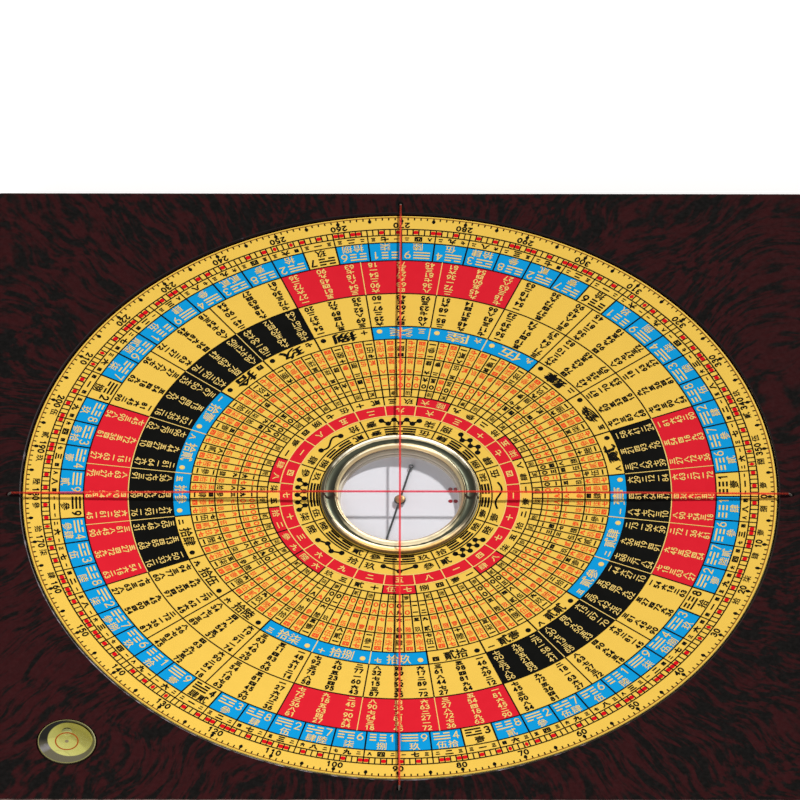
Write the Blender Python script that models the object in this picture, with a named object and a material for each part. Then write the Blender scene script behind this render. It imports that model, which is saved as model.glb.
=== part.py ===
"""A feng shui compass, modelled in metres with +Z up and the origin under the middle of its board.

A square board holds a round printed dial in a recess. The dial turns on a flanged bush, and a nut
under the board keeps it in. The dial carries a sealed capsule with a needle on a pivot pin. Two
threads cross over the dial's centre, and a bull's-eye level sits in one corner of the board.
"""

import math

import bmesh
import bpy
from mathutils import Vector

# Clearances
SEAT_GAP = 0.0003
FINE_GAP = 0.0001
OVERRUN = 0.001
WELD_DISTANCE = 0.000001

# Board, whose side follows from the dial and the narrowest web beside its recess
BOARD_WEB = 0.00715
BOARD_THICK = 0.018
BOARD_CORNER_RADIUS = 0.0015
BOARD_EDGE_ROUND = 0.0008
RECESS_EDGE_CHAMFER = 0.0004

# Dial: a printed plate on a core disc, on a slip ring let into the recess
DIAL_RADIUS = 0.0925
DIAL_RIM_GAP = 0.00035
DIAL_SUNK = 0.0003
PLATE_THICK = 0.0010
PLATE_BEVEL = 0.0004
CORE_THICK = 0.0065
CORE_INSET = 0.0004
CORE_EDGE_BEVEL = 0.0005
CORE_FLOAT = 0.0008
SLIP_MEAN_RADIUS = 0.060
SLIP_WIDTH = 0.006
SLIP_THICK = 0.0008

# Capsule: a turned cup, a screwed bezel, a crystal on a gasket and a white card
WELL_RADIUS = 0.0146
WELL_DEPTH = 0.0029
CRYSTAL_SHELF = 0.0012
CRYSTAL_THICK = 0.0007
CRYSTAL_BEVEL = 0.0002
GASKET_THICK = 0.0004
GASKET_SETBACK = 0.0001
CUP_RIM_WALL = 0.0005
CUP_FLOOR_THICK = 0.0015
CARD_THICK = 0.0004
CARD_HOLE_RADIUS = 0.0008

# Bezel: an outer ledge, a raised lip, a hollow channel and an inner ring that holds the crystal
BEZEL_REACH = 0.0019
BEZEL_HOLD = 0.0006
BEZEL_LEDGE_THICK = 0.00025
BEZEL_LEDGE_WIDTH = 0.0007
BEZEL_LIP_WIDTH = 0.0008
BEZEL_LIP_HEIGHT = 0.0007
BEZEL_LIP_ROUND = 0.00022
BEZEL_CHANNEL_THICK = 0.0002
BEZEL_RING_WIDTH = 0.0008
BEZEL_RING_HEIGHT = 0.0006
BEZEL_RING_ROUND = 0.0004
SKIRT_WALL = 0.0007
SKIRT_LENGTH = 0.0023

# Hub under the capsule: its boss, the flanged bush, the washer and the nut
BOSS_RADIUS = 0.009
BOSS_WALL = 0.003
BOSS_CHAMFER = 0.0005
BOSS_END_INSET = 0.0010
BUSH_WALL = 0.0017
BUSH_FLANGE_WIDTH = 0.0020
BUSH_SEAT_DEPTH = 0.0015
BUSH_CHAMFER = 0.0004
WASHER_WIDTH = 0.0032
WASHER_THICK = 0.0008
NUT_WIDTH = 0.0032
NUT_THICK = 0.0017
NUT_CHAMFER = 0.0003
NUT_NOTCH_WIDTH = 0.0025
NUT_NOTCH_DEPTH = 0.0008
NUT_POCKET_MARGIN = 0.0015

# Needle and its pivot
PIN_RADIUS = 0.00045
PIN_POINT_LENGTH = 0.0007
PIN_POINT_RADIUS = 0.00006
NEEDLE_TIP_GAP = 0.0004
NEEDLE_TAIL_REACH = 0.0113
NEEDLE_WIDTH = 0.00045
NEEDLE_THICK = 0.00025
NEEDLE_POINT_LENGTH = 0.0016
NEEDLE_EYE_WALL = 0.00035
NEEDLE_RING_RADIUS = 0.00062
NEEDLE_RING_WALL = 0.00024
NEEDLE_HEADING = math.radians(256.0)
CAP_RADIUS = 0.0014
CAP_HEIGHT = 0.0009
CAP_WALL = 0.00025
CAP_STEM_RADIUS = 0.0010
JEWEL_THICK = 0.00045
JEWEL_CUP_RADIUS = 0.00035
JEWEL_CUP_DEPTH = 0.00022

# Cross threads and the plugs that hold their ends
THREAD_RADIUS = 0.0002
THREAD_CLEARANCE = 0.0002
THREAD_INSET = 0.004
THREAD_BEND = 0.0010
THREAD_HOLE_RADIUS = 0.0005
THREAD_HOLE_SINK = 0.0002
PLUG_RADIUS = 0.0023
PLUG_LENGTH = 0.0032
PLUG_BORE_RADIUS = 0.0005
PLUG_TAPER = 0.0002
PLUG_CHAMFER = 0.0003
PLUG_SUNK = 0.0005
THREAD_END_INSET = 0.0007

# Bull's-eye level
LEVEL_INSET = 0.019
LEVEL_RADIUS = 0.00715
LEVEL_PROUD = 0.0003
LEVEL_WALL = 0.0013
LEVEL_WINDOW_THICK = 0.0008
LEVEL_WINDOW_HOLLOW = 0.0003
LEVEL_CAVITY_HEIGHT = 0.0014
LEVEL_FLOOR_THICK = 0.0008
LEVEL_FOOT = 0.0004
LEVEL_EDGE_BEVEL = 0.0003
LEVEL_FIT = 0.0002
BUBBLE_RADIUS = 0.0013
BUBBLE_HEIGHT = 0.0009

# Facets
DIAL_SIDES = 88
CAPSULE_SIDES = 48
HUB_SIDES = 48
SLIP_SIDES = 60
SMALL_SIDES = 24
FINE_SIDES = 16
ARC_STEPS = 3
CHANNEL_STEPS = 6
SMOOTH_ANGLE = math.radians(35.0)

# The board's side, and heights from its top downwards
RECESS_RADIUS = DIAL_RADIUS + DIAL_RIM_GAP
BOARD_SIDE = (RECESS_RADIUS + BOARD_WEB) * 2
FACE_Z = BOARD_THICK - DIAL_SUNK
PLATE_UNDER_Z = FACE_Z - PLATE_THICK
CORE_TOP_Z = PLATE_UNDER_Z - SEAT_GAP
CORE_UNDER_Z = CORE_TOP_Z - CORE_THICK
SLIP_TOP_Z = CORE_UNDER_Z - SEAT_GAP
SLIP_UNDER_Z = SLIP_TOP_Z - SLIP_THICK
GROOVE_FLOOR_Z = SLIP_UNDER_Z - SEAT_GAP
RECESS_FLOOR_Z = CORE_UNDER_Z - CORE_FLOAT

# Capsule radii, outwards from the well, and its heights, downwards from the dial's face
CRYSTAL_RADIUS = WELL_RADIUS + CRYSTAL_SHELF
CUP_SEAT_RADIUS = CRYSTAL_RADIUS + SEAT_GAP
CUP_RIM_RADIUS = CUP_SEAT_RADIUS + CUP_RIM_WALL
SKIRT_INNER_RADIUS = CUP_RIM_RADIUS + SEAT_GAP
SKIRT_OUTER_RADIUS = SKIRT_INNER_RADIUS + SKIRT_WALL
DIAL_BORE_RADIUS = SKIRT_OUTER_RADIUS + SEAT_GAP
BEZEL_RADIUS = SKIRT_OUTER_RADIUS + BEZEL_REACH
BEZEL_UNDER_Z = FACE_Z + SEAT_GAP
BEZEL_TOP_Z = BEZEL_UNDER_Z + BEZEL_LIP_HEIGHT
BEZEL_OPENING_RADIUS = CRYSTAL_RADIUS - BEZEL_HOLD
SKIRT_END_Z = BEZEL_UNDER_Z - SKIRT_LENGTH
CRYSTAL_TOP_Z = BEZEL_UNDER_Z - SEAT_GAP
CRYSTAL_UNDER_Z = CRYSTAL_TOP_Z - CRYSTAL_THICK
GASKET_TOP_Z = CRYSTAL_UNDER_Z - SEAT_GAP
GASKET_UNDER_Z = GASKET_TOP_Z - GASKET_THICK
CUP_SHELF_Z = GASKET_UNDER_Z - SEAT_GAP
CUP_FLOOR_Z = FACE_Z - WELL_DEPTH
CUP_FLOOR_UNDER_Z = CUP_FLOOR_Z - CUP_FLOOR_THICK
CARD_UNDER_Z = CUP_FLOOR_Z + SEAT_GAP
CARD_TOP_Z = CARD_UNDER_Z + CARD_THICK

# Hub radii and heights
BOSS_BORE_RADIUS = BOSS_RADIUS - BOSS_WALL
BUSH_INNER_RADIUS = BOSS_RADIUS + SEAT_GAP
BUSH_OUTER_RADIUS = BUSH_INNER_RADIUS + BUSH_WALL
BUSH_FLANGE_RADIUS = BUSH_OUTER_RADIUS + BUSH_FLANGE_WIDTH
BUSH_TOP_Z = CUP_FLOOR_UNDER_Z - SEAT_GAP
BUSH_SEAT_Z = RECESS_FLOOR_Z - BUSH_SEAT_DEPTH
BOSS_END_Z = BOSS_END_INSET
NUT_UNDER_Z = BOSS_END_Z + BOSS_CHAMFER
NUT_TOP_Z = NUT_UNDER_Z + NUT_THICK
WASHER_UNDER_Z = NUT_TOP_Z + SEAT_GAP
WASHER_TOP_Z = WASHER_UNDER_Z + WASHER_THICK
NUT_POCKET_Z = WASHER_TOP_Z + SEAT_GAP
NUT_POCKET_RADIUS = BUSH_INNER_RADIUS + max(NUT_WIDTH, WASHER_WIDTH) + NUT_POCKET_MARGIN

# Needle heights, downwards from the crystal
CAP_TOP_Z = CRYSTAL_UNDER_Z - SEAT_GAP
CAP_UNDER_Z = CAP_TOP_Z - CAP_HEIGHT
CAP_CEILING_Z = CAP_TOP_Z - CAP_WALL
JEWEL_TOP_Z = CAP_CEILING_Z - FINE_GAP
JEWEL_UNDER_Z = JEWEL_TOP_Z - JEWEL_THICK
JEWEL_CUP_Z = JEWEL_UNDER_Z + JEWEL_CUP_DEPTH
JEWEL_RADIUS = CAP_STEM_RADIUS - CAP_WALL - FINE_GAP
PIN_TOP_Z = JEWEL_CUP_Z - FINE_GAP
NEEDLE_EYE_RADIUS = CAP_STEM_RADIUS + FINE_GAP
CAP_SHOULDER_Z = CAP_UNDER_Z + NEEDLE_THICK + FINE_GAP * 2
NEEDLE_UNDER_Z = CAP_UNDER_Z + FINE_GAP
NEEDLE_TIP_REACH = WELL_RADIUS - NEEDLE_TIP_GAP

# Threads: the one along X clears the bezel's lip, and the one along Y clears it in turn
THREAD_LOW_Z = BEZEL_TOP_Z + THREAD_CLEARANCE + THREAD_RADIUS
THREAD_HIGH_Z = THREAD_LOW_Z + THREAD_CLEARANCE + THREAD_RADIUS * 2
THREAD_EDGE_Z = BOARD_THICK + THREAD_CLEARANCE + THREAD_RADIUS
THREAD_REACH = BOARD_SIDE / 2 - THREAD_INSET
PLUG_UNDER_Z = PLUG_SUNK
PLUG_TOP_Z = PLUG_UNDER_Z + PLUG_LENGTH
PLUG_POCKET_Z = PLUG_TOP_Z + SEAT_GAP
PLUG_POCKET_RADIUS = PLUG_RADIUS + SEAT_GAP
THREAD_END_Z = PLUG_UNDER_Z + THREAD_END_INSET

# Level heights, downwards from its window
LEVEL_PLACE = Vector((LEVEL_INSET - BOARD_SIDE / 2, LEVEL_INSET - BOARD_SIDE / 2, 0.0))
LEVEL_TOP_Z = BOARD_THICK + LEVEL_PROUD
LEVEL_CAVITY_TOP_Z = LEVEL_TOP_Z - LEVEL_WINDOW_THICK
LEVEL_FLOOR_TOP_Z = LEVEL_CAVITY_TOP_Z - LEVEL_CAVITY_HEIGHT
LEVEL_FLOOR_UNDER_Z = LEVEL_FLOOR_TOP_Z - LEVEL_FLOOR_THICK
LEVEL_UNDER_Z = LEVEL_FLOOR_UNDER_Z - LEVEL_FOOT
LEVEL_CAVITY_RADIUS = LEVEL_RADIUS - LEVEL_WALL
LEVEL_POCKET_RADIUS = LEVEL_RADIUS + SEAT_GAP
LEVEL_POCKET_Z = LEVEL_UNDER_Z - SEAT_GAP
BUBBLE_TRAVEL = LEVEL_CAVITY_RADIUS - BUBBLE_RADIUS - LEVEL_FIT
BUBBLE_Z = LEVEL_CAVITY_TOP_Z - LEVEL_FIT - BUBBLE_HEIGHT / 2


def clear_scene():
    for old in list(bpy.data.objects):
        bpy.data.objects.remove(old, do_unlink=True)


def make_material(name, colour, roughness, metallic=0.0, alpha=1.0):
    made = bpy.data.materials.new(name)
    made.use_nodes = True
    shader = made.node_tree.nodes["Principled BSDF"]
    shader.inputs["Base Color"].default_value = (*colour, 1.0)
    shader.inputs["Roughness"].default_value = roughness
    shader.inputs["Metallic"].default_value = metallic
    shader.inputs["Alpha"].default_value = alpha
    made.diffuse_color = (*colour, alpha)
    return made


def make_materials():
    return {
        "board": make_material("lacquered_board", (0.045, 0.008, 0.009), 0.32),
        "plate": make_material("printed_plate", (0.93, 0.59, 0.09), 0.38, 0.2),
        "core": make_material("dial_core_wood", (0.20, 0.09, 0.04), 0.6),
        "slip": make_material("nylon_slip", (0.80, 0.78, 0.72), 0.45),
        "brass": make_material("turned_brass", (0.66, 0.45, 0.17), 0.26, 1.0),
        "bush": make_material("acetal_bush", (0.05, 0.05, 0.05), 0.4),
        "crystal": make_material("clear_crystal", (0.95, 0.97, 0.97), 0.03, 0.0, 0.25),
        "gasket": make_material("pale_gasket", (0.72, 0.72, 0.68), 0.55),
        "card": make_material("white_card", (0.86, 0.87, 0.86), 0.4),
        "steel": make_material("dark_steel", (0.13, 0.13, 0.14), 0.3, 1.0),
        "jewel": make_material("jewel_glass", (0.50, 0.20, 0.16), 0.08),
        "thread": make_material("red_thread", (0.75, 0.03, 0.02), 0.6),
        "plug": make_material("wood_plug", (0.42, 0.24, 0.11), 0.6),
        "acrylic": make_material("clear_acrylic", (0.90, 0.93, 0.88), 0.05, 0.0, 0.3),
        "level": make_material("level_green", (0.55, 0.52, 0.10), 0.45),
        "bubble": make_material("air_bubble", (0.92, 0.96, 0.90), 0.05, 0.0, 0.4),
    }


def add_object(name, data, finish, parent=None, place=(0.0, 0.0, 0.0), turn=0.0):
    made = bpy.data.objects.new(name, data)
    bpy.context.collection.objects.link(made)
    if finish is not None:
        data.materials.append(finish)
    made.location = place
    made.rotation_euler = (0.0, 0.0, turn)
    made.parent = parent
    return made


def add_axis(name, place=(0.0, 0.0, 0.0), parent=None, turn=0.0):
    axis = bpy.data.objects.new(name, None)
    bpy.context.collection.objects.link(axis)
    axis.empty_display_size = BOSS_RADIUS
    axis.location = place
    axis.rotation_euler = (0.0, 0.0, turn)
    axis.parent = parent
    return axis


def finish_mesh(bm, name):
    bmesh.ops.recalc_face_normals(bm, faces=bm.faces)
    mesh = bpy.data.meshes.new(name)
    bm.to_mesh(mesh)
    bm.free()
    mesh.shade_smooth()
    mesh.set_sharp_from_angle(angle=SMOOTH_ANGLE)
    return mesh


def turned_mesh(name, profile, sides):
    """Spins a profile of (radius, height) points round Z. One that starts and ends on the axis
    makes a solid, and any other is closed into a ring."""
    bm = bmesh.new()
    points = [bm.verts.new((radius, 0.0, height)) for radius, height in profile]
    edges = [bm.edges.new(pair) for pair in zip(points, points[1:])]
    on_axis = profile[0][0] == 0.0 and profile[-1][0] == 0.0
    if not on_axis:
        edges.append(bm.edges.new((points[-1], points[0])))
    bmesh.ops.spin(
        bm,
        geom=points + edges,
        cent=(0.0, 0.0, 0.0),
        axis=(0.0, 0.0, 1.0),
        angle=math.tau,
        steps=sides,
        use_merge=True,
    )
    bmesh.ops.remove_doubles(bm, verts=bm.verts, dist=WELD_DISTANCE)
    return finish_mesh(bm, name)


def prism_mesh(name, outline, low_z, high_z):
    """Raises a flat outline of (x, y) points between two heights."""
    bm = bmesh.new()
    base = bm.faces.new([bm.verts.new((x, y, low_z)) for x, y in outline])
    raised = bmesh.ops.extrude_face_region(bm, geom=[base])
    top = [item for item in raised["geom"] if isinstance(item, bmesh.types.BMVert)]
    bmesh.ops.translate(bm, verts=top, vec=(0.0, 0.0, high_z - low_z))
    return finish_mesh(bm, name)


def arc(centre, radius, start, end, steps):
    """Points on an arc about (x, y), between two angles in degrees."""
    points = []
    for step in range(steps + 1):
        angle = math.radians(start + (end - start) * step / steps)
        points.append((centre[0] + radius * math.cos(angle), centre[1] + radius * math.sin(angle)))
    return points


def add_cutter(name, mesh, place=(0.0, 0.0, 0.0)):
    cutter = add_object(name, mesh, None, place=place)
    cutter.hide_render = True
    cutter.display_type = "WIRE"
    return cutter


def cut(piece, cutter):
    boolean = piece.modifiers.new(cutter.name, "BOOLEAN")
    boolean.operation = "DIFFERENCE"
    boolean.solver = "EXACT"
    boolean.object = cutter


def ring_profile(inner, outer, low_z, high_z):
    return [(outer, low_z), (outer, high_z), (inner, high_z), (inner, low_z)]


def thread_places():
    """The four thread holes, with the angle of each about the board's centre."""
    names = ("right", "far", "left", "near")
    for index, name in enumerate(names):
        angle = math.tau * index / len(names)
        place = (THREAD_REACH * math.cos(angle), THREAD_REACH * math.sin(angle), 0.0)
        yield name, place


def board_outline():
    middle = BOARD_SIDE / 2 - BOARD_CORNER_RADIUS
    corners = ((1, 1, 0), (-1, 1, 90), (-1, -1, 180), (1, -1, 270))
    outline = []
    for along_x, along_y, start in corners:
        centre = (along_x * middle, along_y * middle)
        outline += arc(centre, BOARD_CORNER_RADIUS, start, start + 90, ARC_STEPS * 2)
    return outline


def recess_cutter():
    groove_in = SLIP_MEAN_RADIUS - SLIP_WIDTH / 2 - SEAT_GAP
    groove_out = SLIP_MEAN_RADIUS + SLIP_WIDTH / 2 + SEAT_GAP
    profile = [
        (0.0, RECESS_FLOOR_Z),
        (groove_in, RECESS_FLOOR_Z),
        (groove_in, GROOVE_FLOOR_Z),
        (groove_out, GROOVE_FLOOR_Z),
        (groove_out, RECESS_FLOOR_Z),
        (RECESS_RADIUS, RECESS_FLOOR_Z),
        (RECESS_RADIUS, BOARD_THICK - RECESS_EDGE_CHAMFER),
        (RECESS_RADIUS + RECESS_EDGE_CHAMFER + OVERRUN, BOARD_THICK + OVERRUN),
        (0.0, BOARD_THICK + OVERRUN),
    ]
    return add_cutter("recess_cutter", turned_mesh("recess_cutter", profile, DIAL_SIDES))


def hub_cutter():
    flange = BUSH_FLANGE_RADIUS + SEAT_GAP
    bore = BUSH_OUTER_RADIUS + SEAT_GAP
    profile = [
        (0.0, RECESS_FLOOR_Z + OVERRUN),
        (flange, RECESS_FLOOR_Z + OVERRUN),
        (flange, BUSH_SEAT_Z - SEAT_GAP),
        (bore, BUSH_SEAT_Z - SEAT_GAP),
        (bore, NUT_POCKET_Z),
        (NUT_POCKET_RADIUS, NUT_POCKET_Z),
        (NUT_POCKET_RADIUS, -OVERRUN),
        (0.0, -OVERRUN),
    ]
    return add_cutter("hub_cutter", turned_mesh("hub_cutter", profile, HUB_SIDES))


def level_cutter():
    profile = [
        (0.0, LEVEL_POCKET_Z),
        (LEVEL_POCKET_RADIUS, LEVEL_POCKET_Z),
        (LEVEL_POCKET_RADIUS, BOARD_THICK + OVERRUN),
        (0.0, BOARD_THICK + OVERRUN),
    ]
    mesh = turned_mesh("level_cutter", profile, CAPSULE_SIDES)
    return add_cutter("level_cutter", mesh, LEVEL_PLACE)


def thread_cutters():
    profile = [
        (0.0, -OVERRUN),
        (PLUG_POCKET_RADIUS, -OVERRUN),
        (PLUG_POCKET_RADIUS, PLUG_POCKET_Z),
        (THREAD_HOLE_RADIUS, PLUG_POCKET_Z),
        (THREAD_HOLE_RADIUS, BOARD_THICK - THREAD_HOLE_SINK),
        (THREAD_HOLE_RADIUS + THREAD_HOLE_SINK + OVERRUN, BOARD_THICK + OVERRUN),
        (0.0, BOARD_THICK + OVERRUN),
    ]
    mesh = turned_mesh("thread_hole_cutter", profile, FINE_SIDES)
    return [add_cutter("thread_cutter_" + name, mesh, place) for name, place in thread_places()]


def make_board(finish):
    board = add_object("base_board", prism_mesh("base_board", board_outline(), 0.0, BOARD_THICK), finish)
    rounding = board.modifiers.new("edge_rounding", "BEVEL")
    rounding.width = BOARD_EDGE_ROUND
    rounding.segments = 2
    rounding.limit_method = "ANGLE"
    rounding.angle_limit = math.radians(60.0)
    for cutter in [recess_cutter(), hub_cutter(), level_cutter()] + thread_cutters():
        cut(board, cutter)


def make_slip_ring(finish):
    inner = SLIP_MEAN_RADIUS - SLIP_WIDTH / 2
    outer = SLIP_MEAN_RADIUS + SLIP_WIDTH / 2
    profile = ring_profile(inner, outer, SLIP_UNDER_Z, SLIP_TOP_Z)
    add_object("slip_ring", turned_mesh("slip_ring", profile, SLIP_SIDES), finish)


def make_bush(finish):
    profile = [
        (BUSH_INNER_RADIUS, BUSH_TOP_Z),
        (BUSH_FLANGE_RADIUS - BUSH_CHAMFER, BUSH_TOP_Z),
        (BUSH_FLANGE_RADIUS, BUSH_TOP_Z - BUSH_CHAMFER),
        (BUSH_FLANGE_RADIUS, BUSH_SEAT_Z),
        (BUSH_OUTER_RADIUS, BUSH_SEAT_Z),
        (BUSH_OUTER_RADIUS, NUT_POCKET_Z + SEAT_GAP),
        (BUSH_INNER_RADIUS, NUT_POCKET_Z + SEAT_GAP),
    ]
    add_object("hub_bush", turned_mesh("hub_bush", profile, HUB_SIDES), finish)


def make_plate(finish, axis):
    profile = [
        (DIAL_BORE_RADIUS, FACE_Z),
        (DIAL_RADIUS - PLATE_BEVEL, FACE_Z),
        (DIAL_RADIUS, FACE_Z - PLATE_BEVEL),
        (DIAL_RADIUS, PLATE_UNDER_Z),
        (DIAL_BORE_RADIUS, PLATE_UNDER_Z),
    ]
    add_object("dial_plate", turned_mesh("dial_plate", profile, DIAL_SIDES), finish, axis)


def make_core(finish, axis):
    outer = DIAL_RADIUS - CORE_INSET
    profile = [
        (DIAL_BORE_RADIUS, CORE_TOP_Z),
        (outer, CORE_TOP_Z),
        (outer, CORE_UNDER_Z + CORE_EDGE_BEVEL),
        (outer - CORE_EDGE_BEVEL, CORE_UNDER_Z),
        (DIAL_BORE_RADIUS, CORE_UNDER_Z),
    ]
    add_object("dial_core", turned_mesh("dial_core", profile, DIAL_SIDES), finish, axis)


def make_cup(finish, axis):
    """The well with its crystal seat and threaded rim, and the hollow boss that runs in the bush."""
    profile = [
        (0.0, CUP_FLOOR_Z),
        (WELL_RADIUS, CUP_FLOOR_Z),
        (WELL_RADIUS, CUP_SHELF_Z),
        (CUP_SEAT_RADIUS, CUP_SHELF_Z),
        (CUP_SEAT_RADIUS, CRYSTAL_TOP_Z),
        (CUP_RIM_RADIUS, CRYSTAL_TOP_Z),
        (CUP_RIM_RADIUS, SKIRT_END_Z - SEAT_GAP),
        (SKIRT_OUTER_RADIUS, SKIRT_END_Z - SEAT_GAP),
        (SKIRT_OUTER_RADIUS, CUP_FLOOR_UNDER_Z),
        (BOSS_RADIUS, CUP_FLOOR_UNDER_Z),
        (BOSS_RADIUS, BOSS_END_Z + BOSS_CHAMFER),
        (BOSS_RADIUS - BOSS_CHAMFER, BOSS_END_Z),
        (BOSS_BORE_RADIUS, BOSS_END_Z),
        (BOSS_BORE_RADIUS, CUP_FLOOR_UNDER_Z),
        (0.0, CUP_FLOOR_UNDER_Z),
    ]
    add_object("capsule_cup", turned_mesh("capsule_cup", profile, CAPSULE_SIDES), finish, axis)


def bezel_profile():
    """The turned section: ledge, round lip, hollow channel, inner ring, and the skirt under them."""
    lip_outer = BEZEL_RADIUS - BEZEL_LEDGE_WIDTH
    lip_inner = lip_outer - BEZEL_LIP_WIDTH
    ring_outer = BEZEL_OPENING_RADIUS + BEZEL_RING_WIDTH
    ring_top = BEZEL_UNDER_Z + BEZEL_RING_HEIGHT
    ledge_top = BEZEL_UNDER_Z + BEZEL_LEDGE_THICK
    channel_low = BEZEL_UNDER_Z + BEZEL_CHANNEL_THICK
    lip_round_z = BEZEL_TOP_Z - BEZEL_LIP_ROUND
    profile = [(BEZEL_RADIUS, BEZEL_UNDER_Z), (BEZEL_RADIUS, ledge_top), (lip_outer, ledge_top)]
    profile += arc((lip_outer - BEZEL_LIP_ROUND, lip_round_z), BEZEL_LIP_ROUND, 0, 90, ARC_STEPS)
    profile += arc((lip_inner + BEZEL_LIP_ROUND, lip_round_z), BEZEL_LIP_ROUND, 90, 180, ARC_STEPS)
    middle = (lip_inner + ring_outer) / 2
    half_width = (lip_inner - ring_outer) / 2
    for step in range(1, CHANNEL_STEPS):
        across = 1.0 - 2.0 * step / CHANNEL_STEPS
        side_top = lip_round_z if across > 0.0 else ring_top
        height = channel_low + (side_top - channel_low) * across**2
        profile.append((middle + half_width * across, height))
    profile.append((ring_outer, ring_top))
    inner_round = (BEZEL_OPENING_RADIUS + BEZEL_RING_ROUND, ring_top - BEZEL_RING_ROUND)
    profile += arc(inner_round, BEZEL_RING_ROUND, 90, 180, ARC_STEPS)
    profile += [
        (BEZEL_OPENING_RADIUS, BEZEL_UNDER_Z),
        (SKIRT_INNER_RADIUS, BEZEL_UNDER_Z),
        (SKIRT_INNER_RADIUS, SKIRT_END_Z),
        (SKIRT_OUTER_RADIUS, SKIRT_END_Z),
        (SKIRT_OUTER_RADIUS, BEZEL_UNDER_Z),
    ]
    return profile


def make_bezel(finish, axis):
    add_object("capsule_bezel", turned_mesh("capsule_bezel", bezel_profile(), CAPSULE_SIDES), finish, axis)


def make_crystal(finish, axis):
    profile = [
        (0.0, CRYSTAL_TOP_Z),
        (CRYSTAL_RADIUS - CRYSTAL_BEVEL, CRYSTAL_TOP_Z),
        (CRYSTAL_RADIUS, CRYSTAL_TOP_Z - CRYSTAL_BEVEL),
        (CRYSTAL_RADIUS, CRYSTAL_UNDER_Z),
        (0.0, CRYSTAL_UNDER_Z),
    ]
    add_object("capsule_crystal", turned_mesh("capsule_crystal", profile, CAPSULE_SIDES), finish, axis)


def make_gasket(finish, axis):
    profile = ring_profile(WELL_RADIUS + GASKET_SETBACK, CRYSTAL_RADIUS, GASKET_UNDER_Z, GASKET_TOP_Z)
    add_object("capsule_gasket", turned_mesh("capsule_gasket", profile, CAPSULE_SIDES), finish, axis)


def make_card(finish, axis):
    profile = ring_profile(CARD_HOLE_RADIUS, WELL_RADIUS - SEAT_GAP, CARD_UNDER_Z, CARD_TOP_Z)
    add_object("capsule_card", turned_mesh("capsule_card", profile, CAPSULE_SIDES), finish, axis)


def make_pin(finish, axis):
    profile = [
        (0.0, CUP_FLOOR_Z + FINE_GAP),
        (PIN_RADIUS, CUP_FLOOR_Z + FINE_GAP),
        (PIN_RADIUS, PIN_TOP_Z - PIN_POINT_LENGTH),
        (PIN_POINT_RADIUS, PIN_TOP_Z),
        (0.0, PIN_TOP_Z),
    ]
    add_object("pivot_pin", turned_mesh("pivot_pin", profile, FINE_SIDES), finish, axis)


def make_washer(finish, axis):
    outer = BUSH_INNER_RADIUS + WASHER_WIDTH
    profile = ring_profile(BUSH_INNER_RADIUS, outer, WASHER_UNDER_Z, WASHER_TOP_Z)
    add_object("hub_washer", turned_mesh("hub_washer", profile, HUB_SIDES), finish, axis)


def make_nut(finish, axis):
    """A round nut with four notches for a pin spanner in its lower face."""
    outer = BUSH_INNER_RADIUS + NUT_WIDTH
    profile = [
        (BUSH_INNER_RADIUS, NUT_TOP_Z),
        (outer, NUT_TOP_Z),
        (outer, NUT_UNDER_Z + NUT_CHAMFER),
        (outer - NUT_CHAMFER, NUT_UNDER_Z),
        (BUSH_INNER_RADIUS, NUT_UNDER_Z),
    ]
    nut = add_object("hub_nut", turned_mesh("hub_nut", profile, HUB_SIDES), finish, axis)
    long_half = outer + OVERRUN
    short_half = NUT_NOTCH_WIDTH / 2
    top = NUT_UNDER_Z + NUT_NOTCH_DEPTH
    for name, half_x, half_y in (("x", long_half, short_half), ("y", short_half, long_half)):
        outline = [(-half_x, -half_y), (half_x, -half_y), (half_x, half_y), (-half_x, half_y)]
        mesh = prism_mesh("nut_notch_cutter", outline, NUT_UNDER_Z - OVERRUN, top)
        cut(nut, add_cutter("nut_notch_cutter_" + name, mesh))


def blade_outline():
    """The needle from above, its point along +X: a slim bar with an eye round the cap's stem and a
    small ring at the tail. Half of it is worked out, and the other half is its mirror image."""
    half = NEEDLE_WIDTH / 2
    eye = NEEDLE_EYE_RADIUS + NEEDLE_EYE_WALL
    eye_angle = math.degrees(math.asin(half / eye))
    ring_angle = math.degrees(math.asin(half / NEEDLE_RING_RADIUS))
    side = [(NEEDLE_TIP_REACH, 0.0), (NEEDLE_TIP_REACH - NEEDLE_POINT_LENGTH, half)]
    side += arc((0.0, 0.0), eye, eye_angle, 180.0 - eye_angle, ARC_STEPS * 2)
    side += arc((-NEEDLE_TAIL_REACH, 0.0), NEEDLE_RING_RADIUS, ring_angle, 180.0, ARC_STEPS * 2)
    mirrored = [(x, -y) for x, y in reversed(side[1:-1])]
    return side + mirrored


def make_blade(finish, axis):
    top = NEEDLE_UNDER_Z + NEEDLE_THICK
    mesh = prism_mesh("needle_blade", blade_outline(), NEEDLE_UNDER_Z, top)
    blade = add_object("needle_blade", mesh, finish, axis)
    holes = (
        ("needle_eye_cutter", 0.0, NEEDLE_EYE_RADIUS),
        ("needle_ring_cutter", -NEEDLE_TAIL_REACH, NEEDLE_RING_RADIUS - NEEDLE_RING_WALL),
    )
    for name, x, radius in holes:
        profile = [
            (0.0, top + OVERRUN),
            (radius, top + OVERRUN),
            (radius, NEEDLE_UNDER_Z - OVERRUN),
            (0.0, NEEDLE_UNDER_Z - OVERRUN),
        ]
        cutter = add_cutter(name, turned_mesh(name, profile, FINE_SIDES))
        cutter.parent = axis
        cutter.location = (x, 0.0, 0.0)
        cut(blade, cutter)


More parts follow.
